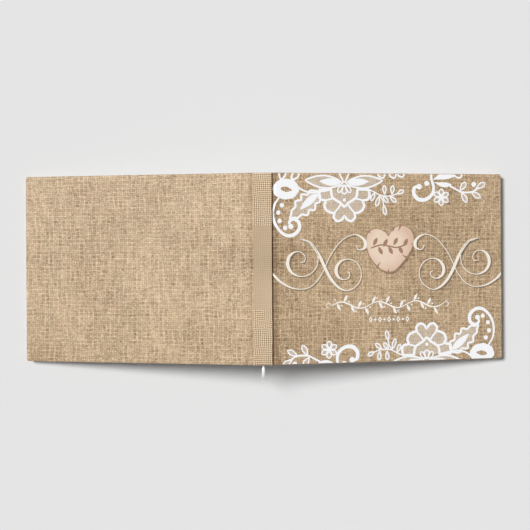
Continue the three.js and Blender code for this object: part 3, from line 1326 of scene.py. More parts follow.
@dataclass
class Lace:
    """A printed lace corner of flowers, leaves, sprigs and curls, at the head or turned for the tail.

    Attributes:
        cover: the cover that it is printed on.
        name: the pieces' name.
        turned: whether it is turned half round, for the tail.
        cord: the width of an ordinary lace cord, in millimetres.
        middle: how far out the large flower's middle lies, in millimetres.
    """

    cover: Cover
    name: str
    turned: bool = False
    cord: float = 2.1
    middle: float = 86.5
    threads: FlatArt = field(init=False)
    net: FlatArt = field(init=False)

    def __post_init__(self) -> None:
        """Starts its two drawings, the net below and the cords on it."""
        self.net = FlatArt(0.02)
        self.threads = FlatArt(0.06)
        self.net.turned = self.threads.turned = self.turned

    def looped_leaf(self, base: Flat, tip: Flat, width: float) -> None:
        """A small open leaf on a sprig.

        Args:
            base: where it starts.
            tip: where it ends.
            width: its width.
        """
        edge = pointed(base, tip, width, 0.6, 7)
        self.net.area(edge)
        self.threads.stroke(edge, self.cord * 0.72, closed=True)

    def sprig(self, stem: Sequence[Flat], leaves: Iterable[tuple[Flat, Flat]], width: float = 4.2) -> None:
        """A stem with open leaves.

        Args:
            stem: the stem's points.
            leaves: each leaf's base and tip.
            width: a leaf's width.
        """
        self.threads.stroke(smooth_line(stem), self.cord * 0.7)
        for base, tip in leaves:
            self.looped_leaf(base, tip, width)

    def full_rose(self, centre: Flat, reach: Flat) -> None:
        """A full white flower with a scalloped edge and an opening in its middle.

        Args:
            centre: its middle.
            reach: how far it reaches, across and up.
        """
        edge = []
        for i in range(80):
            angle = 2 * math.pi * i / 80
            swell = 0.93 + 0.07 * abs(math.cos(4 * angle + 0.5)) ** 0.5
            edge.append((centre[0] + reach[0] * swell * math.cos(angle),
                         centre[1] + reach[1] * swell * math.sin(angle)))
        x, y = centre
        self.threads.area(edge, pointed((x - 6.5, y + 0.8), (x + 7.5, y - 1.2), 6.0, 0.45, 8))

    def open_flower(self, centre: Flat, radius: float, petals: int = 6) -> None:
        """A small flower of open petals.

        Args:
            centre: its middle.
            radius: how far its petals reach.
            petals: how many it has.
        """
        for i in range(petals):
            angle = 0.5 + i * 2 * math.pi / petals
            start = (centre[0] + 1.6 * math.cos(angle), centre[1] + 1.6 * math.sin(angle))
            tip = (centre[0] + radius * math.cos(angle), centre[1] + radius * math.sin(angle))
            self.looped_leaf(start, tip, radius * 0.56)
        self.threads.dot(centre, 2.3)

    def long_petal(self, side: int) -> None:
        """A long petal beside the large flower: a corded edge, a net and a solid heart.

        Args:
            side: -1 for the one towards the spine and 1 for the other.
        """
        x = self.middle
        edge = pointed((x + side * 2.0, 99.0), (x + side * 46.5, 102.5), 14.5, 0.48, 14)
        self.net.area(edge)
        self.threads.stroke(edge, self.cord, closed=True)
        self.threads.area(pointed((x + side * 4.0, 99.6), (x + side * 30.0, 101.5), 8.6, 0.45, 10))
        self.threads.stroke([(x + side * 1.0, 100.5), (x + side * 6.5, 112.0)], self.cord)

    def both_ways(self, half: Sequence[Flat]) -> list[Flat]:
        """Half a line, given from the middle outwards, with its mirror image in front of it."""
        mirror = [(2 * self.middle - x, y) for x, y in half]
        return mirror[::-1] + [tuple(point) for point in half[1:]]

    def large_flower(self) -> None:
        """The large flower that hangs from the middle of the lace."""
        x = self.middle
        rim = self.both_ways([(x, 60.6), (x + 3.2, 56.6), (x + 8.6, 54.9), (x + 12.9, 59.4), (x + 12.2, 63.9),
                              (x + 15.6, 64.6), (x + 21.4, 67.4), (x + 24.0, 73.4), (x + 22.4, 78.6),
                              (x + 28.4, 80.2), (x + 30.6, 85.4), (x + 29.4, 91.6)])
        edge = [tuple(point) for point in smooth_line(rim, 5)]
        self.net.area(edge)
        self.threads.stroke(edge, self.cord * 1.4)
        inner = self.both_ways([(x, 71.8), (x + 4.6, 76.0), (x + 10.4, 79.6), (x + 14.6, 83.4),
                                (x + 16.0, 91.5)])
        self.threads.stroke(smooth_line(inner, 4), self.cord * 1.4)
        for side in (-1, 1):
            for vein in (((12.5, 81.5), (18.0, 80.4), (22.6, 78.8)),
                         ((4.0, 75.0), (7.4, 70.0), (12.2, 64.4))):
                self.threads.stroke(smooth_line([(x + side * a, b) for a, b in vein], 3), self.cord)
            self.threads.stroke([(x + side * 15.5, 91.8), (x + side * 30.0, 91.4)], self.cord * 1.1)
            bud = pointed((x + side * 1.2, 97), (x + side * 7.6, 88.5), 5.4, 0.6, 7)
            self.threads.stroke(bud, self.cord * 0.8, closed=True)
        self.threads.dot((x, 79.6), 2.0)
        self.threads.stroke(pointed((x, 97), (x, 86.4), 7.0, 0.6, 8), self.cord * 0.9, closed=True)

    def toothed_leaf(self, base: Flat, tip: Flat, width: float, teeth: int = 4) -> None:
        """A broad leaf with lobed sides, a net and a solid vein.

        Args:
            base: where it starts.
            tip: where it ends.
            width: its width.
            teeth: how many lobes a side has.
        """
        a, b = Vector(base), Vector(tip)
        run = b - a
        across = Vector((-run.y, run.x)).normalized()
        sides: list[list[Vector]] = [[], []]
        for i in range(teeth):
            for share, reach in ((0.12, 0.66), (0.62, 1.0), (0.95, 0.70)):
                t = (i + share) / (teeth + 0.35)
                swell = math.sin(math.pi * min(t * 0.85 + 0.14, 1)) * width / 2 * reach
                for side, sign in zip(sides, (1, -1)):
                    side.append(a + run * t + across * swell * sign)
        outline = smooth_line([a, *sides[0], b, *reversed(sides[1])], 3, closed=True)
        self.net.area(outline)
        self.threads.stroke(outline, self.cord * 1.2, closed=True)
        self.threads.area(pointed(tuple(a.lerp(b, 0.04)), tuple(a.lerp(b, 0.66)), width * 0.36, 0.42))

    def curl(self, points: Sequence[Flat], thin: float, thick: float) -> None:
        """A scroll that swells towards its end.

        Args:
            points: the line's points.
            thin: its least width.
            thick: its greatest width.
        """
        line = smooth_line(points, 6)
        count = len(line)
        widths = [thin + (thick - thin) * math.sin(math.pi * min(1, i / count) ** 1.6) for i in range(count)]
        self.threads.stroke(line, widths)
        self.threads.dot(tuple(line[-1]), thick * 0.72)

    def draw_near_spine(self) -> None:
        """Draws the rose, its stem, the toothed leaf and the dotted curl."""
        self.full_rose((17, 92), (15.6, 12.0))
        for base, tip in (((11, 102), (14.5, 115)), ((23, 102), (32, 113))):
            self.threads.stroke(pointed(base, tip, 7.5, 0.6, 8), self.cord, closed=True)
        self.threads.stroke(smooth_line([(24.5, 104), (32, 94), (43, 88.6), (54, 88.4), (68, 91)]), self.cord)
        self.toothed_leaf((56, 88), (21.5, 58), 24)
        self.curl([(9.5, 83), (4.2, 75), (1.8, 65), (3.4, 54), (9, 44.5), (17, 38.6), (25.8, 39.2),
                   (32.2, 45.6), (32.0, 53.6), (26, 57.4), (20.8, 54), (22.6, 48.8)], 2.0, 4.2)
        for centre in ((12.2, 73.4), (8.0, 65.0), (9.4, 55.2), (15.8, 47.2)):
            self.threads.dot(centre, 2.6)

    def draw_middle(self) -> None:
        """Draws the large flower with its petals, and the sprig beside it."""
        self.large_flower()
        self.long_petal(-1)
        self.long_petal(1)
        self.sprig([(115, 92.5), (123, 89), (131, 85), (142, 84.3), (151, 87)],
                   [((135.5, 86), (135, 97)), ((144.5, 86), (145.5, 97)), ((151, 87), (159, 91)),
                    ((133.5, 84.5), (139.5, 76.5)), ((142, 84), (149.5, 77)), ((123.5, 88.5), (119, 78.5)),
                    ((129, 84.5), (125, 72))])
        self.sprig([(129, 85.5), (133, 79.5), (134.2, 73)], [((134.2, 74), (136.2, 62))])
        for start in (128, 142):
            self.threads.stroke(pointed((start, 117), (start + 6, 105.5), 8, 0.6, 8), self.cord, closed=True)

    def draw_far_end(self) -> None:
        """Draws the curl, the small flower and the sprig towards the fore-edge."""
        self.curl([(193, 114), (193.5, 104), (196, 95), (194, 86.5), (186.5, 80.5), (177, 80.5), (171.5, 87),
                   (172.5, 94.5), (178, 95.5)], 2.6, 4.6)
        self.threads.dot((187.5, 99.5), 3.0)
        self.open_flower((205.5, 83), 10.0)
        self.threads.area(pointed((195, 104), (224, 109), 8.5, 0.55, bend=2))
        self.threads.area(pointed((196, 101), (219, 98), 6.0, 0.6, bend=-1.5))
        stem = [(214, 98), (224, 92.5), (232, 89), (244, 89.5), (252, 94)]
        self.threads.stroke(smooth_line(stem), self.cord)
        for base, tip in (((229, 91), (236.5, 101)), ((231, 89), (237.5, 77)), ((243, 89.5), (255, 82.5)),
                          ((249, 93), (261, 100.5))):
            self.looped_leaf(base, tip, 5.6)
        self.threads.dot((246.5, 98.5), 3.0)
        self.threads.stroke(smooth_line([(219, 112), (226, 106.5), (231, 108), (231, 114)]), self.cord)
        self.threads.stroke(pointed((152, 117), (158, 107), 8, 0.6, 8), self.cord, closed=True)

    def build(self) -> None:
        """Draws and prints the corner."""
        self.draw_near_spine()
        self.draw_middle()
        self.draw_far_end()
        self.net.print_on(self.cover, f"{self.name}_net", Finish.NET_BURLAP)
        self.threads.print_on(self.cover, f"{self.name}_cords", Finish.LACE)


@dataclass
class WoodHeart:
    """A slice of wood in the shape of a heart, with a thin bark rim, checks and a small engraved sprig.

    Attributes:
        cover: the cover that it is printed on.
        centre: its middle, in millimetres.
    """

    cover: Cover
    centre: Flat = (141.7, 22.3)

    # The edge, in millimetres from the heart's middle, from the dip between its lobes round to the left.
    EDGE: tuple[Flat, ...] = (
        (-2.0, 15.4), (-6.2, 19.8), (-11.5, 22.8), (-18, 24), (-24.5, 21.4), (-28.6, 15.6), (-29.6, 8),
        (-28.2, -1), (-24.4, -10.5), (-17.5, -19.5), (-10, -25.4), (-2, -28), (5.5, -26.4), (12, -20.6),
        (19, -12.6), (25.4, -3.4), (29.3, 6), (29.6, 14.6), (26, 22), (20, 26.4), (13, 27.6), (6.5, 25.2),
        (1.6, 20.6),
    )
    # Where checks run in from the edge: how far round, as a share, and how long, in millimetres.
    CHECKS: tuple[tuple[float, float], ...] = (
        (0.405, 7.5), (0.475, 4.4), (0.62, 7.0), (0.70, 4.0), (0.865, 8.0), (0.93, 3.6), (0.19, 3.0),
    )

    def outline(self, grow: float = 0.0) -> list[Flat]:
        """The heart's edge, a little uneven, grown or shrunk in millimetres.

        Args:
            grow: how far it is grown.

        Returns:
            The outline's points.
        """
        draw = random.Random(5)
        points = []
        for point in smooth_line(self.EDGE, 4, closed=True):
            length = point.length or 1.0
            reach = 1 + (grow + draw.uniform(-0.18, 0.18)) / length
            points.append((self.centre[0] + point.x * reach, self.centre[1] + point.y * reach))
        return points

    def build(self) -> None:
        """Prints its shadow, bark, wood, checks and engraving."""
        shadow = FlatArt(0.03)
        shadow.area([(x + 1.5, y - 1.7) for x, y in self.outline(0.6)])
        shadow.print_on(self.cover, "heart_shadow", Finish.SHADOW_BURLAP)
        bark = FlatArt(0.1)
        bark.area(self.outline(0.35))
        bark.print_on(self.cover, "heart_bark_rim", Finish.BARK)
        wood = FlatArt(0.14)
        wood.area(self.outline(-0.75))
        wood.print_on(self.cover, "heart_wood_slice", Finish.HEART_WOOD)
        marks = FlatArt(0.18)
        rim = self.outline(0.3)
        for place, length in self.CHECKS:
            start = Vector(rim[round(place * len(rim))])
            inward = (Vector(self.centre) - start).normalized()
            kink = Vector((-inward.y, inward.x)) * 0.4
            line = [start, start + inward * length * 0.5 + kink, start + inward * length]
            marks.stroke(line, [3.0, 1.5, 0.3])
        self.engrave(marks)
        marks.print_on(self.cover, "heart_marks", Finish.ENGRAVING)

    def engrave(self, marks: FlatArt) -> None:
        """Cuts a small leafy sprig across the heart.

        Args:
            marks: the drawing it goes on.
        """
        x, y = self.centre[0] - 1.0, self.centre[1] + 0.5
        stem = [(x - 22, y + 0.5), (x - 10, y + 4), (x, y + 2.4), (x + 10, y + 0.8), (x + 21, y + 4.5)]
        marks.stroke(smooth_line(stem), 1.7)
        for i in range(-3, 4):
            root = (x + i * 6.2 - 1.0, y + 2.4 + 0.8 * math.sin(i * 1.3))
            sign = 1 if i % 2 else -1
            marks.area(pointed(root, (root[0] + 5.0, root[1] + sign * 9.4), 4.6, 0.55, 8))


@dataclass
class Flourishes:
    """The pen flourishes beside the heart, and the vine and row of beads under it.

    Attributes:
        cover: the cover that they are printed on.
        middle: the line that the two flourishes mirror each other in, in millimetres.
        thin: the width of a light stroke.
        thick: the width of a heavy one.
    """

    cover: Cover
    middle: float = 142.0
    thin: float = 0.95
    thick: float = 3.9

    def sweeps(self) -> list[list[Flat]]:
        """The pen's paths on the spine's side of the heart.

        Returns:
            Each path's points.
        """
        first = self.scroll((33, 9), 23.0, 90.0, -500.0)
        second = self.scroll((88, -5), 19.5, -90.0, 470.0)
        scroll = first[::-1] + [(45, 30), (56, 15), (66, -6), (76, -20)] + second
        tendril = [(0, -4), (10, -15), (26, -23), (44, -22), (58, -8), (70, 16), (84, 33), (99, 39),
                   (110, 33), (111, 24), (104, 21), (100, 26)]
        return [scroll, tendril]

    @staticmethod
    def scroll(centre: Flat, radius: float, start: float, sweep: float) -> list[Flat]:
        """A spiral's points from the outside in.

        Args:
            centre: its eye.
            radius: how far out it starts.
            start: the direction from the eye in which it starts, in degrees.
            sweep: how far it turns, in degrees.

        Returns:
            The points.
        """
        points = []
        for i in range(15):
            angle = math.radians(start + sweep * i / 14)
            reach = radius * (1 - i / 14) ** 0.8 + 2.0
            points.append((centre[0] + reach * math.cos(angle), centre[1] + reach * math.sin(angle)))
        return points

    def pen(self, art: FlatArt, points: Sequence[Flat], mirrored: bool, offset: Flat = (0, 0),
            swell: float = 1.0) -> None:
        """Draws one sweep, heavy where the pen goes down and light where it goes up.

        Args:
            art: the drawing.
            points: the sweep's points.
            mirrored: whether it goes on the far side of the heart.
            offset: how far to shift it.
            swell: how much to widen it.
        """
        line = smooth_line(points, 8)
        widths = []
        for i in range(len(line)):
            run = line[min(i + 1, len(line) - 1)] - line[max(i - 1, 0)]
            heavy = max(0.0, -run.y / (run.length or 1.0)) ** 1.3
            ends = min(1.0, i / 6, (len(line) - 1 - i) / 6)
            widths.append((self.thin + (self.thick - self.thin) * heavy * ends) * swell)
        placed = [((2 * self.middle - x if mirrored else x) + offset[0], y + offset[1]) for x, y in line]
        art.stroke(placed, widths)

    def build(self) -> None:
        """Prints the flourishes with their shadows, then the vine and the beads."""
        shadow, cream = FlatArt(0.02), FlatArt(0.2)
        for mirrored in (False, True):
            for sweep in self.sweeps():
                self.pen(shadow, sweep, mirrored, (1.5, -1.3), 1.3)
                self.pen(cream, sweep, mirrored)
        shadow.print_on(self.cover, "flourish_shadow", Finish.SHADOW_BURLAP)
        cream.print_on(self.cover, "flourishes", Finish.CREAM)
        ornament = FlatArt(0.06)
        self.vine(ornament)
        for i in range(-4, 5):
            centre = (140.0 + i * 5.6, -61.0)
            if i % 2:
                ornament.dot(centre, 1.3)
            else:
                ornament.area(self.diamond(centre, 2.2, 3.8), self.diamond(centre, 1.0, 1.7))
        ornament.print_on(self.cover, "vine_and_beads", Finish.WHITE_INK)

    @staticmethod
    def diamond(centre: Flat, half_width: float, half_height: float) -> list[Flat]:
        """A diamond's corners."""
        x, y = centre
        return [(x - half_width, y), (x, y + half_height), (x + half_width, y), (x, y - half_height)]

    def vine(self, art: FlatArt) -> None:
        """A waving stem with small leaves, curled in at both ends.

        Args:
            art: the drawing it goes on.
        """
        low, high, level = 71.0, 207.0, -43.5
        count = 48
        stem = []
        for i in range(count + 1):
            t = i / count
            stem.append((low + (high - low) * t, level + 3.8 * math.sin(t * 6 * math.pi)))
        art.stroke(stem, [0.8 + 0.9 * abs(math.sin(3 * math.pi * i / count)) for i in range(count + 1)])
        for i in range(2, count - 1, 3):
            x, y = stem[i]
            sign = 1 if (i // 3) % 2 else -1
            art.area(pointed((x, y), (x + 4.4, y + sign * 8.6), 3.2, 0.55, 7))
            art.dot((x - 2.2, y - sign * 4.0), 1.0)
        for end, turn in ((stem[0], -1), (stem[-1], 1)):
            art.stroke(smooth_line([end, (end[0] + 4 * turn, end[1] + 3), (end[0] + 7 * turn, end[1] - 0.5),
                                    (end[0] + 4.4 * turn, end[1] - 2.6)]), 0.8)


# ---- The leaves ----


@dataclass
class HalfBlock:
    """The leaves of one half: four sewn signatures, their bent ends at the gutter and the flyleaf.

    Attributes:
        half: the half that they belong to.
        nodes: the CAD nodes by name.
        signatures: the signatures' CAD nodes, from the cover inwards.
        leaves: how many leaves a signature has.
        gap: the air between two leaves.
        stray: how far a leaf's edges may stand back from the block's.
        folded: not used.
    """

    half: HalfFrame
    nodes: dict[str, bpy.types.Object]
    signatures: tuple[str, ...]
    leaves: int = 8
    gap: float = mm(0.012)
    stray: float = mm(0.3)
    folded: float = 0.014

    def __post_init__(self) -> None:
        """Reads where the leaves lie from the CAD nodes."""
        self.spans = [self.half.span(self.nodes[name]) for name in self.signatures]
        self.leaf = (self.spans[0][1][2] - self.spans[0][0][2]) / self.leaves
        self.reach = self.spans[0][1][1]
        self.start = self.spans[0][0][0]
        self.random = random.Random(11 + self.half.side)

    def plate(self, shell: ShellMesh, end: float, reach: tuple[float, float], top: float) -> None:
        """Adds one flat leaf with a faint wave in it.

        Args:
            shell: the mesh it goes in.
            end: how far out it ends.
            reach: its ends at the tail and the head.
            top: its depth.
        """
        count = 10
        phase = self.random.uniform(0, 6)
        line = []
        for i in range(count + 1):
            out = self.start + (end - self.start) * i / count
            wave = self.gap * 0.4 * math.sin(phase + 5 * i / count)
            line.append((out, top + self.leaf / 2 + wave))
        left, right = thick_strip(line, self.leaf - self.gap)
        shell.sheet(left, right, [reach[0], 0.0, reach[1]], self.half.section)

    def stack(self, name: str, low: Corner, high: Corner) -> bpy.types.Object:
        """The flat part of one signature, leaf by leaf.

        Args:
            name: the signature's node.
            low: its near corner in the half's frame.
            high: its far corner.

        Returns:
            The piece.
        """
        shell = ShellMesh()
        count = round((high[2] - low[2]) / self.leaf)
        pitch = (high[2] - low[2]) / count
        for i in range(count):
            end = high[0] - self.random.uniform(0, self.stray)
            reach = tuple(sign * (self.reach - self.random.uniform(0, self.stray * 0.5)) for sign in (-1, 1))
            self.plate(shell, end, reach, low[2] + i * pitch)
        piece = shell.finish(f"{name}_leaves", Finish.LEAF)
        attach(piece, f"{self.half.name}_leaves")
        return shown(piece, [name])

    def fold_line(self, place: float, sheet: int, depths: tuple[float, float], top: float) -> list[Flat]:
        """The section of one folded sheet: from its first leaf, over the fold, to its last.

        Args:
            place: how far the signature's fold lies from the middle of the spine.
            sheet: which sheet of the signature it is, from the outside in.
            depths: how deep its two leaves lie where they reach the flat part.
            top: how high the outermost fold stands.

        Returns:
            The section's points in the book's frame, across and up, on the front's side.
        """
        pairs = self.leaves // 2
        radius = self.leaf * (pairs - sheet - 0.5)
        apex = top - self.leaf * (sheet + 0.5)
        sides = []
        for sign, depth in zip((1, -1), depths):
            fold = Vector((place + sign * radius, apex - radius))
            flat = self.half.at(self.start, 0, depth)
            end = Vector((abs(flat.x), flat.z))
            heading = Vector((math.cos(self.half.tilt), -math.sin(self.half.tilt)))
            reach = (end - fold).length
            controls = (end, end - heading * reach * 0.45, fold + Vector((0, -0.32 * reach)), fold)
            sides.append([self.bezier(controls, i / 9) for i in range(10)])
        turns = [math.pi * i / 6 for i in range(1, 6)]
        crown = [Vector((place + radius * math.cos(turn), apex - radius + radius * math.sin(turn)))
                 for turn in turns]
        return [tuple(point) for point in sides[0] + crown + sides[1][::-1]]

    @staticmethod
    def bezier(controls: Sequence[Vector], t: float) -> Vector:
        """A point on a cubic curve.

        Args:
            controls: the curve's four points.
            t: how far along it, from 0 to 1.

        Returns:
            The point.
        """
        a, b, c, d = controls
        s = 1 - t
        return a * s ** 3 + b * 3 * s * s * t + c * 3 * s * t * t + d * t ** 3

    def gutter(self) -> bpy.types.Object:
        """The bent ends of all the leaves, with each sheet folded and nested in its signature.

        Returns:
            The piece.
        """
        name = self.half.name
        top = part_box(f"{name}_gutter_folds")[1].z
        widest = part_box("spine_mull")[1].x
        pitch = widest / len(self.signatures)
        shell = ShellMesh()
        reach = self.reach - mm(0.5)
        for index, (low, _) in enumerate(self.spans):
            place = widest - pitch * (index + 0.42)
            for sheet in range(self.leaves // 2):
                depths = (low[2] + self.leaf * (sheet + 0.5),
                          low[2] + self.leaf * (self.leaves - sheet - 0.5))
                section = self.fold_line(place, sheet, depths, top)
                left, right = thick_strip(section, self.leaf - self.gap)
                shell.sheet(left, right, [-reach, 0.0, reach],
                            lambda across, up, along: Vector((self.half.side * across, along, up)))
        piece = shell.finish(f"{name}_gutter_leaves", Finish.LEAF)
        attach(piece, f"{name}_leaves")
        edge = self.half.at(self.start, 0, 0)
        outward = self.half.at(1.0, 0, 0) - self.half.at(0.0, 0, 0)
        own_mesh(piece)
        return shown(piece, [f"{name}_gutter_folds"])

    def build(self) -> None:
        """Makes the signatures and the gutter, and finishes the flyleaf."""
        for name, (low, high) in zip(self.signatures, self.spans):
            self.stack(name, low, high)
        self.gutter()
        dress_node(self.nodes[f"{self.half.name}_flyleaf"], Finish.ENDPAPER)


@dataclass
class TurningLeaf:
    """The innermost leaf of the front half, which turns."""

    half: HalfFrame
    nodes: dict[str, bpy.types.Object]

    def build(self) -> None:
        """Makes the leaf, with a faint wave towards its fore-edge."""
        low, high = self.half.span(self.nodes["turning_leaf"])
        start, end = low[0], high[0]
        thickness, middle = (high[2] - low[2]), (low[2] + high[2]) / 2
        shell = ShellMesh()
        count = 30
        line = []
        for i in range(count + 1):
            sag = mm(0.02) * (1 - math.cos(4 * math.pi * i / count)) / 2
            line.append((start + (end - start) * i / count, middle - sag))
        left, right = thick_strip(line, thickness * 0.9)
        reach = high[1]
        shell.sheet(left, right, [-reach + 2 * reach * i / 6 for i in range(7)], self.half.section)
        piece = shell.finish("turning_leaf_sheet", Finish.LEAF)
        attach(piece, "turning_leaf")
        shown(piece, ["turning_leaf"])


# ---- The spine ----


@dataclass
class Spine:
    """The spine: its printed sheet, linings, sewing and bands.

    Attributes:
        half: the front half, for the spine's edge.
        nodes: the CAD nodes by name.
        edge: the radius that the sheet takes at head and tail.
        sheet: the sheet's thickness.
    """

    half: HalfFrame
    nodes: dict[str, bpy.types.Object]
    edge: float = mm(0.7)
    sheet: float = mm(0.38)

    def wrap(self) -> bpy.types.Object:
        """The printed sheet over the spine board, round its head and tail and in behind it.

        Returns:
            The piece.
        """
        low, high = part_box("spine_wrap")
        reach, top, deep = high.y, high.z, high.z - low.z
        inner_edge = min(abs(v.co.y) for v in self.nodes["spine_wrap"].data.vertices)
        middle = self.path(reach, deep, inner_edge)
        left, right = thick_strip(middle, self.sheet)
        width = self.half.hinge[0]
        shell = ShellMesh()
        shell.sheet(left, right, [width * (i / 4 - 1) for i in range(9)],
                    lambda along, down, across: Vector((across, along, top - down)))
        run = np.cumsum([0.0] + [math.dist(a, b) for a, b in zip(middle, middle[1:])])
        centre = float(run[-1]) / 2
        shell.cloth = [(v, u - centre) for u, v in shell.cloth]
        piece = shell.finish("spine_sheet", Finish.SPINE_BURLAP)
        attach(piece, "spine")
        return shown(piece, ["spine_wrap"])

    def path(self, reach: float, deep: float, inner_edge: float) -> list[Flat]:
        """The middle of the sheet's section, from the tail's turn-in over the spine to the head's.

        Args:
            reach: half the spine's height.
            deep: how deep the turn-ins lie.
            inner_edge: where they end.

        Returns:
            The line's points.
        """
        half = self.sheet / 2
        r, y, bottom = self.edge - half, reach - self.edge, deep - self.edge
        quarter = [i / 5 * math.pi / 2 for i in range(6)]
        head = [(y + r * math.sin(a), self.edge - r * math.cos(a)) for a in quarter]
        head += [(y + r * math.cos(a), bottom + r * math.sin(a)) for a in quarter]
        head.append((inner_edge, deep - half))
        flat = [(y * (i / 6), half) for i in range(-5, 6)]
        return [(-a, b) for a, b in reversed(head)] + flat + head

    def thread(self) -> bpy.types.Object:
        """The sewing thread, up and down the folds and over at alternate ends.

        Returns:
            The piece.
        """
        low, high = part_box("sewing_thread")
        radius = (high.z - low.z) / 2
        level = (low.z + high.z) / 2
        runs = 8
        pitch = (high.x - low.x - 2 * radius) / (runs - 1)
        curve = bpy.data.curves.new("sewing_thread_curve", "CURVE")
        curve.dimensions = "3D"
        curve.bevel_depth = radius * 0.95
        curve.bevel_resolution = 2
        spline = curve.splines.new("POLY")
        route = []
        for i in range(runs):
            x = low.x + radius + i * pitch
            ends = (low.y + radius, high.y - radius)
            start, stop = ends if i % 2 == 0 else ends[::-1]
            route += [Vector((x, start + (stop - start) * k / 12, level)) for k in range(13)]
        spline.points.add(len(route) - 1)
        for point, place in zip(spline.points, route):
            point.co = (*place, 1.0)
        holder = bpy.data.objects.new("thread_holder", curve)
        bpy.context.scene.collection.objects.link(holder)
        mesh = bpy.data.meshes.new_from_object(holder)
        bpy.data.objects.remove(holder)
        mesh.name = "sewing_thread_line"
        piece = bpy.data.objects.new("sewing_thread_line", mesh)
        bpy.context.scene.collection.objects.link(piece)
        has_layer = CLOTH_UV in mesh.uv_layers
        layer = mesh.uv_layers[CLOTH_UV] if has_layer else mesh.uv_layers.new(name=CLOTH_UV)
        for loop in mesh.loops:
            place = mesh.vertices[loop.vertex_index].co
            layer.data[loop.index].uv = (place.y, place.x)
        mesh.materials.clear()
        mesh.materials.append(Finish.LINEN.material())
        mesh.shade_smooth()
        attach(piece, "spine")
        return shown(piece, ["sewing_thread"])

    def band(self, node: str) -> bpy.types.Object:
        """A head or tail band: a bead wound with thread in two colours.

        Args:
            node: the band's CAD node.

        Returns:
            The piece.
        """
        low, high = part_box(node)
        centre = (low + high) / 2
        deep, tall = (high.y - low.y) / 2, (high.z - low.z) / 2
        turns, around = 88, 20
        points, cloth, faces = [], [], []
        for i in range(turns + 1):
            x = low.x + (high.x - low.x) * i / turns
            ends = min(1.0, 0.55 + 0.45 * min(i, turns - i) / 3)
            ridge = (0.95 + 0.05 * math.cos(i * math.pi / 2)) * ends
            for k in range(around):
                angle = 2 * math.pi * k / around
                points.append(Vector((x, centre.y + deep * ridge * math.cos(angle),
                                      centre.z + tall * ridge * math.sin(angle))))
                cloth.append((x - low.x, angle * deep))
        for i in range(turns):
            for k in range(around):
                a, b = i * around + k, i * around + (k + 1) % around
                faces.append((a, b, b + around, a + around))
        faces.append(tuple(range(around)))
        faces.append(tuple(turns * around + k for k in reversed(range(around))))
        piece = solid_object(f"{node}_bead", points, faces, Finish.BAND, cloth, smooth=True)
        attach(piece, "spine")
        return shown(piece, [node])

    def build(self) -> None:
        """Makes the spine's pieces and finishes its kept CAD nodes."""
        self.wrap()
        self.thread()
        self.band("head_band")
        self.band("tail_band")
        for node, finish in (("spine_board", Finish.BOARD), ("spine_lining_paper", Finish.KRAFT),
                             ("spine_mull", Finish.MULL)):
            dress_node(self.nodes[node], finish)


# ---- The marker ribbon ----


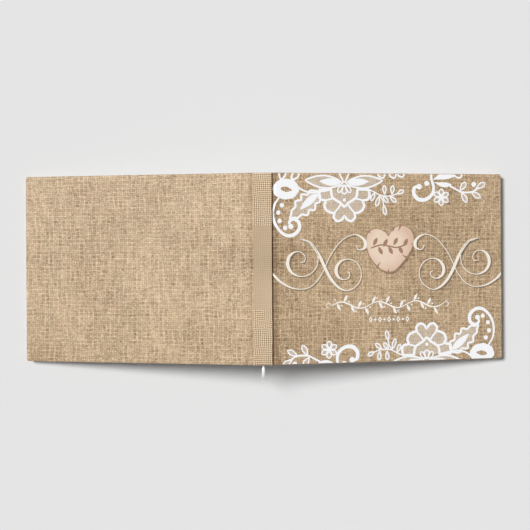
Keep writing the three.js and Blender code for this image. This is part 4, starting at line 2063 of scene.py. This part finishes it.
@dataclass
class Ribbon:
    """The satin marker: its stretch in the gutter, and its tail, which twists flat and hangs.

    Attributes:
        width: the ribbon's width.
        thickness: its thickness.
        slant: how much longer one edge is at the cut end.
        twist_over: the length over which the tail turns from edge-on to flat.
    """

    width: float = mm(3.2)
    thickness: float = mm(0.2)
    slant: float = mm(3.0)
    twist_over: float = mm(11)

    # How far the tail has moved from its exit, towards the back cover, out past the tail, and down.
    ROUTE: tuple[tuple[float, float, float], ...] = (
        (0, 0, 0), (0, 2, 0), (0, 4, 0), (0.1, 6.5, 0.1), (0.2, 9, 0.4), (0.35, 11.5, 1.1), (0.55, 13.8, 2.3),
        (0.8, 15.9, 4.1), (1.05, 17.6, 6.4), (1.3, 18.9, 9.2), (1.5, 19.8, 12.4), (1.65, 20.3, 16),
        (1.75, 20.5, 20), (1.8, 20.5, 24.5), (1.8, 20.4, 29),
    )

    def strip(self, name: str, line: Sequence[Vector], widthways: Sequence[Vector],
              cut_end: bool) -> bpy.types.Object:
        """A closed flat strip along a line.

        Args:
            name: the piece's name.
            line: the strip's middle.
            widthways: which way its width points at each place.
            cut_end: whether its far end is cut on the slant.

        Returns:
            The piece.
        """
        run = [0.0]
        for a, b in zip(line, line[1:]):
            run.append(run[-1] + (b - a).length)
        lanes = (-1.0, -0.5, 0.0, 0.5, 1.0)
        points, cloth, faces = [], [], []
        for i, (place, across) in enumerate(zip(line, widthways)):
            heading = (line[min(i + 1, len(line) - 1)] - line[max(i - 1, 0)]).normalized()
            across = (across - heading * across.dot(heading)).normalized()
            face = heading.cross(across).normalized()
            for up in (0.5, -0.5):
                for lane in lanes:
                    reach = lane
                    if cut_end:
                        left = run[-1] - run[i]
                        reach = min(lane, -1 + 2 * left / self.slant) if left < self.slant else lane
                    crown = 0.35 * (1 - lane * lane)
                    points.append(place + across * (reach * self.width / 2)
                                  + face * self.thickness * (up + crown * 0.5))
                    cloth.append((reach * self.width / 2, run[i]))
        lane_count = len(lanes)
        row = 2 * lane_count
        for i in range(len(line) - 1):
            here, there = i * row, (i + 1) * row
            for k in range(lane_count - 1):
                faces.append((here + k, here + k + 1, there + k + 1, there + k))
                faces.append((here + lane_count + k + 1, here + lane_count + k, there + lane_count + k,
                              there + lane_count + k + 1))
            for k in (0, lane_count - 1):
                faces.append((here + k, here + lane_count + k, there + lane_count + k, there + k))
        for base in (0, (len(line) - 1) * row):
            for k in range(lane_count - 1):
                faces.append((base + k, base + k + 1, base + lane_count + k + 1, base + lane_count + k))
        return solid_object(name, points, faces, Finish.SATIN, cloth, smooth=True)

    def marker(self) -> bpy.types.Object:
        """The stretch that stands on edge in the gutter.

        Returns:
            The piece.
        """
        low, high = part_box("ribbon_marker")
        middle = (low + high) / 2
        count = 60
        line = []
        for i in range(count + 1):
            wave = mm(0.06) * math.sin(i * 0.5)
            line.append(Vector((middle.x + wave, high.y + (low.y - high.y) * i / count, middle.z)))
        piece = self.strip("ribbon_in_gutter", line, [Vector((0, 0, 1))] * len(line), False)
        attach(piece, "spine")
        return shown(piece, ["ribbon_marker"])

    def tail(self, record: dict) -> bpy.types.Object:
        """The free tail, a cord of its own.

        Args:
            record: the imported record, for the place where the tail swings.

        Returns:
            The piece.
        """
        joint = next(j for j in record["behaviour"]["joints"] if j["name"] == "ribbon_swing")
        start = Vector(joint["pos_m"])
        points = [start + Vector((-mm(left), -mm(out), -mm(down))) for left, out, down in self.ROUTE]
        lead_in = start + Vector((0, self.width / 2 - mm(0.1), 0))
        line = smooth_line([lead_in, *points], 4)
        run = [0.0]
        for a, b in zip(line, line[1:]):
            run.append(run[-1] + (b - a).length)
        widthways = []
        for length in run:
            share = min(1.0, length / self.twist_over)
            angle = math.pi / 2 * (1 - share * share * (3 - 2 * share))
            widthways.append(Vector((math.cos(angle), 0, math.sin(angle))))
        piece = self.strip("ribbon_tail_satin", line, widthways, True)
        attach(piece, "ribbon_tail")
        return shown(piece, ["ribbon_tail"])

    def build(self, record: dict) -> None:
        """Makes both stretches."""
        self.marker()
        self.tail(record)


# ---- The studio ----


@dataclass
class Studio:
    """A pale table, soft light from the upper left, and a camera above the book.

    Attributes:
        spine_top: how high the spine stands.
        above: how high the camera is above the spine.
        towards_front: how far the camera stands from the book's middle, towards the front cover.
        towards_head: how far it stands from the middle towards the head.
        lens: the camera's focal length, in millimetres on a 36 mm sensor.
        shift: how far the frame is shifted, as a share of its width.
        turn: how far the camera is turned, in degrees.
        sun_from: the direction that the light comes from.
        sun_strength: its strength.
        sun_size: how wide it looks, in degrees.
        sky: the brightness of the even light overhead.
        horizon: the brightness of the walls, low down all round.
    """

    spine_top: float
    above: float = 1.145
    towards_front: float = 0.030
    towards_head: float = 0.034
    lens: float = 67.5
    shift: Flat = (-0.0443, -0.0485)
    turn: float = -0.35
    sun_from: tuple[float, float, float] = (-0.62, 0.385, 1.0)
    sun_strength: float = 3.42
    sun_size: float = 20.0
    sky: float = 0.18
    horizon: float = 0.80

    def camera(self) -> None:
        """Places the camera."""
        data = bpy.data.cameras.new("camera")
        data.lens = self.lens
        data.sensor_width = 36.0
        data.shift_x, data.shift_y = self.shift
        data.clip_end = 20.0
        camera = bpy.data.objects.new("camera", data)
        camera.location = (self.towards_front, self.towards_head, self.spine_top + self.above)
        camera.rotation_euler = (0.0, 0.0, math.radians(self.turn))
        bpy.context.scene.collection.objects.link(camera)
        bpy.context.scene.camera = camera

    def light(self) -> None:
        """Makes the sun and the even light all round."""
        data = bpy.data.lights.new("window_light", "SUN")
        data.energy = self.sun_strength
        data.angle = math.radians(self.sun_size)
        sun = bpy.data.objects.new("window_light", data)
        sun.rotation_euler = Vector(self.sun_from).to_track_quat("Z", "Y").to_euler()
        bpy.context.scene.collection.objects.link(sun)
        bpy.context.scene.world = self.room()
        bpy.context.scene.view_settings.view_transform = "Standard"

    def room(self) -> bpy.types.World:
        """The light that comes from all round, brighter at the walls than overhead.

        Returns:
            The world.
        """
        world = bpy.data.worlds.new("room")
        world.use_nodes = True
        tree = world.node_tree
        background = tree.nodes["Background"]
        background.inputs["Color"].default_value = (1.0, 1.0, 1.0, 1.0)
        direction = tree.nodes.new("ShaderNodeTexCoord")
        split = tree.nodes.new("ShaderNodeSeparateXYZ")
        fade = tree.nodes.new("ShaderNodeMapRange")
        fade.interpolation_type = "SMOOTHSTEP"
        for name, number in (("From Min", 0.04), ("From Max", 0.36),
                             ("To Min", self.horizon), ("To Max", self.sky)):
            fade.inputs[name].default_value = number
        tree.links.new(direction.outputs["Generated"], split.inputs[0])
        tree.links.new(split.outputs["Z"], fade.inputs["Value"])
        tree.links.new(fade.outputs["Result"], background.inputs["Strength"])
        return world

    def table(self) -> None:
        """Lays the table under the book."""
        reach, level = 3.0, -mm(0.05)
        corners = [Vector((x * reach, y * reach, level)) for x, y in ((-1, -1), (1, -1), (1, 1), (-1, 1))]
        mesh = bpy.data.meshes.new("table")
        mesh.from_pydata([tuple(corner) for corner in corners], [], [(0, 1, 2, 3)])
        mesh.materials.append(Tabletop().build())
        table = bpy.data.objects.new("table", mesh)
        bpy.context.scene.collection.objects.link(table)

    def build(self) -> None:
        """Sets up the camera, the light and the table."""
        self.camera()
        self.light()
        self.table()


def main() -> None:
    """Loads the frame and builds the book around it, sub-assembly by sub-assembly."""
    logging.basicConfig(level=logging.INFO, format="%(name)s: %(message)s")
    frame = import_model()
    record, nodes = frame["record"], frame["nodes"]
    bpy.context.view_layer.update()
    halves = {name: HalfFrame.from_record(record, name, side) for name, side in (("front", 1), ("back", -1))}
    front, back = halves["front"], halves["back"]

    Studio(front.hinge[1]).build()
    Ribbon().build(record)

    front_cover = Cover(front, nodes, Finish.FRONT_BURLAP)
    front_cover.build()
    Cover(back, nodes, Finish.BACK_BURLAP, groove=mm(1.3)).build()
    Spine(front, nodes).build()

    HalfBlock(front, nodes, ("signature_1", "signature_2", "signature_3", "signature_4")).build()
    HalfBlock(back, nodes, ("signature_8", "signature_7", "signature_6", "signature_5")).build()
    TurningLeaf(front, nodes).build()

    Lace(front_cover, "head_lace").build()
    Lace(front_cover, "tail_lace", turned=True).build()
    WoodHeart(front_cover).build()
    Flourishes(front_cover).build()


if __name__ == "__main__":
    main()
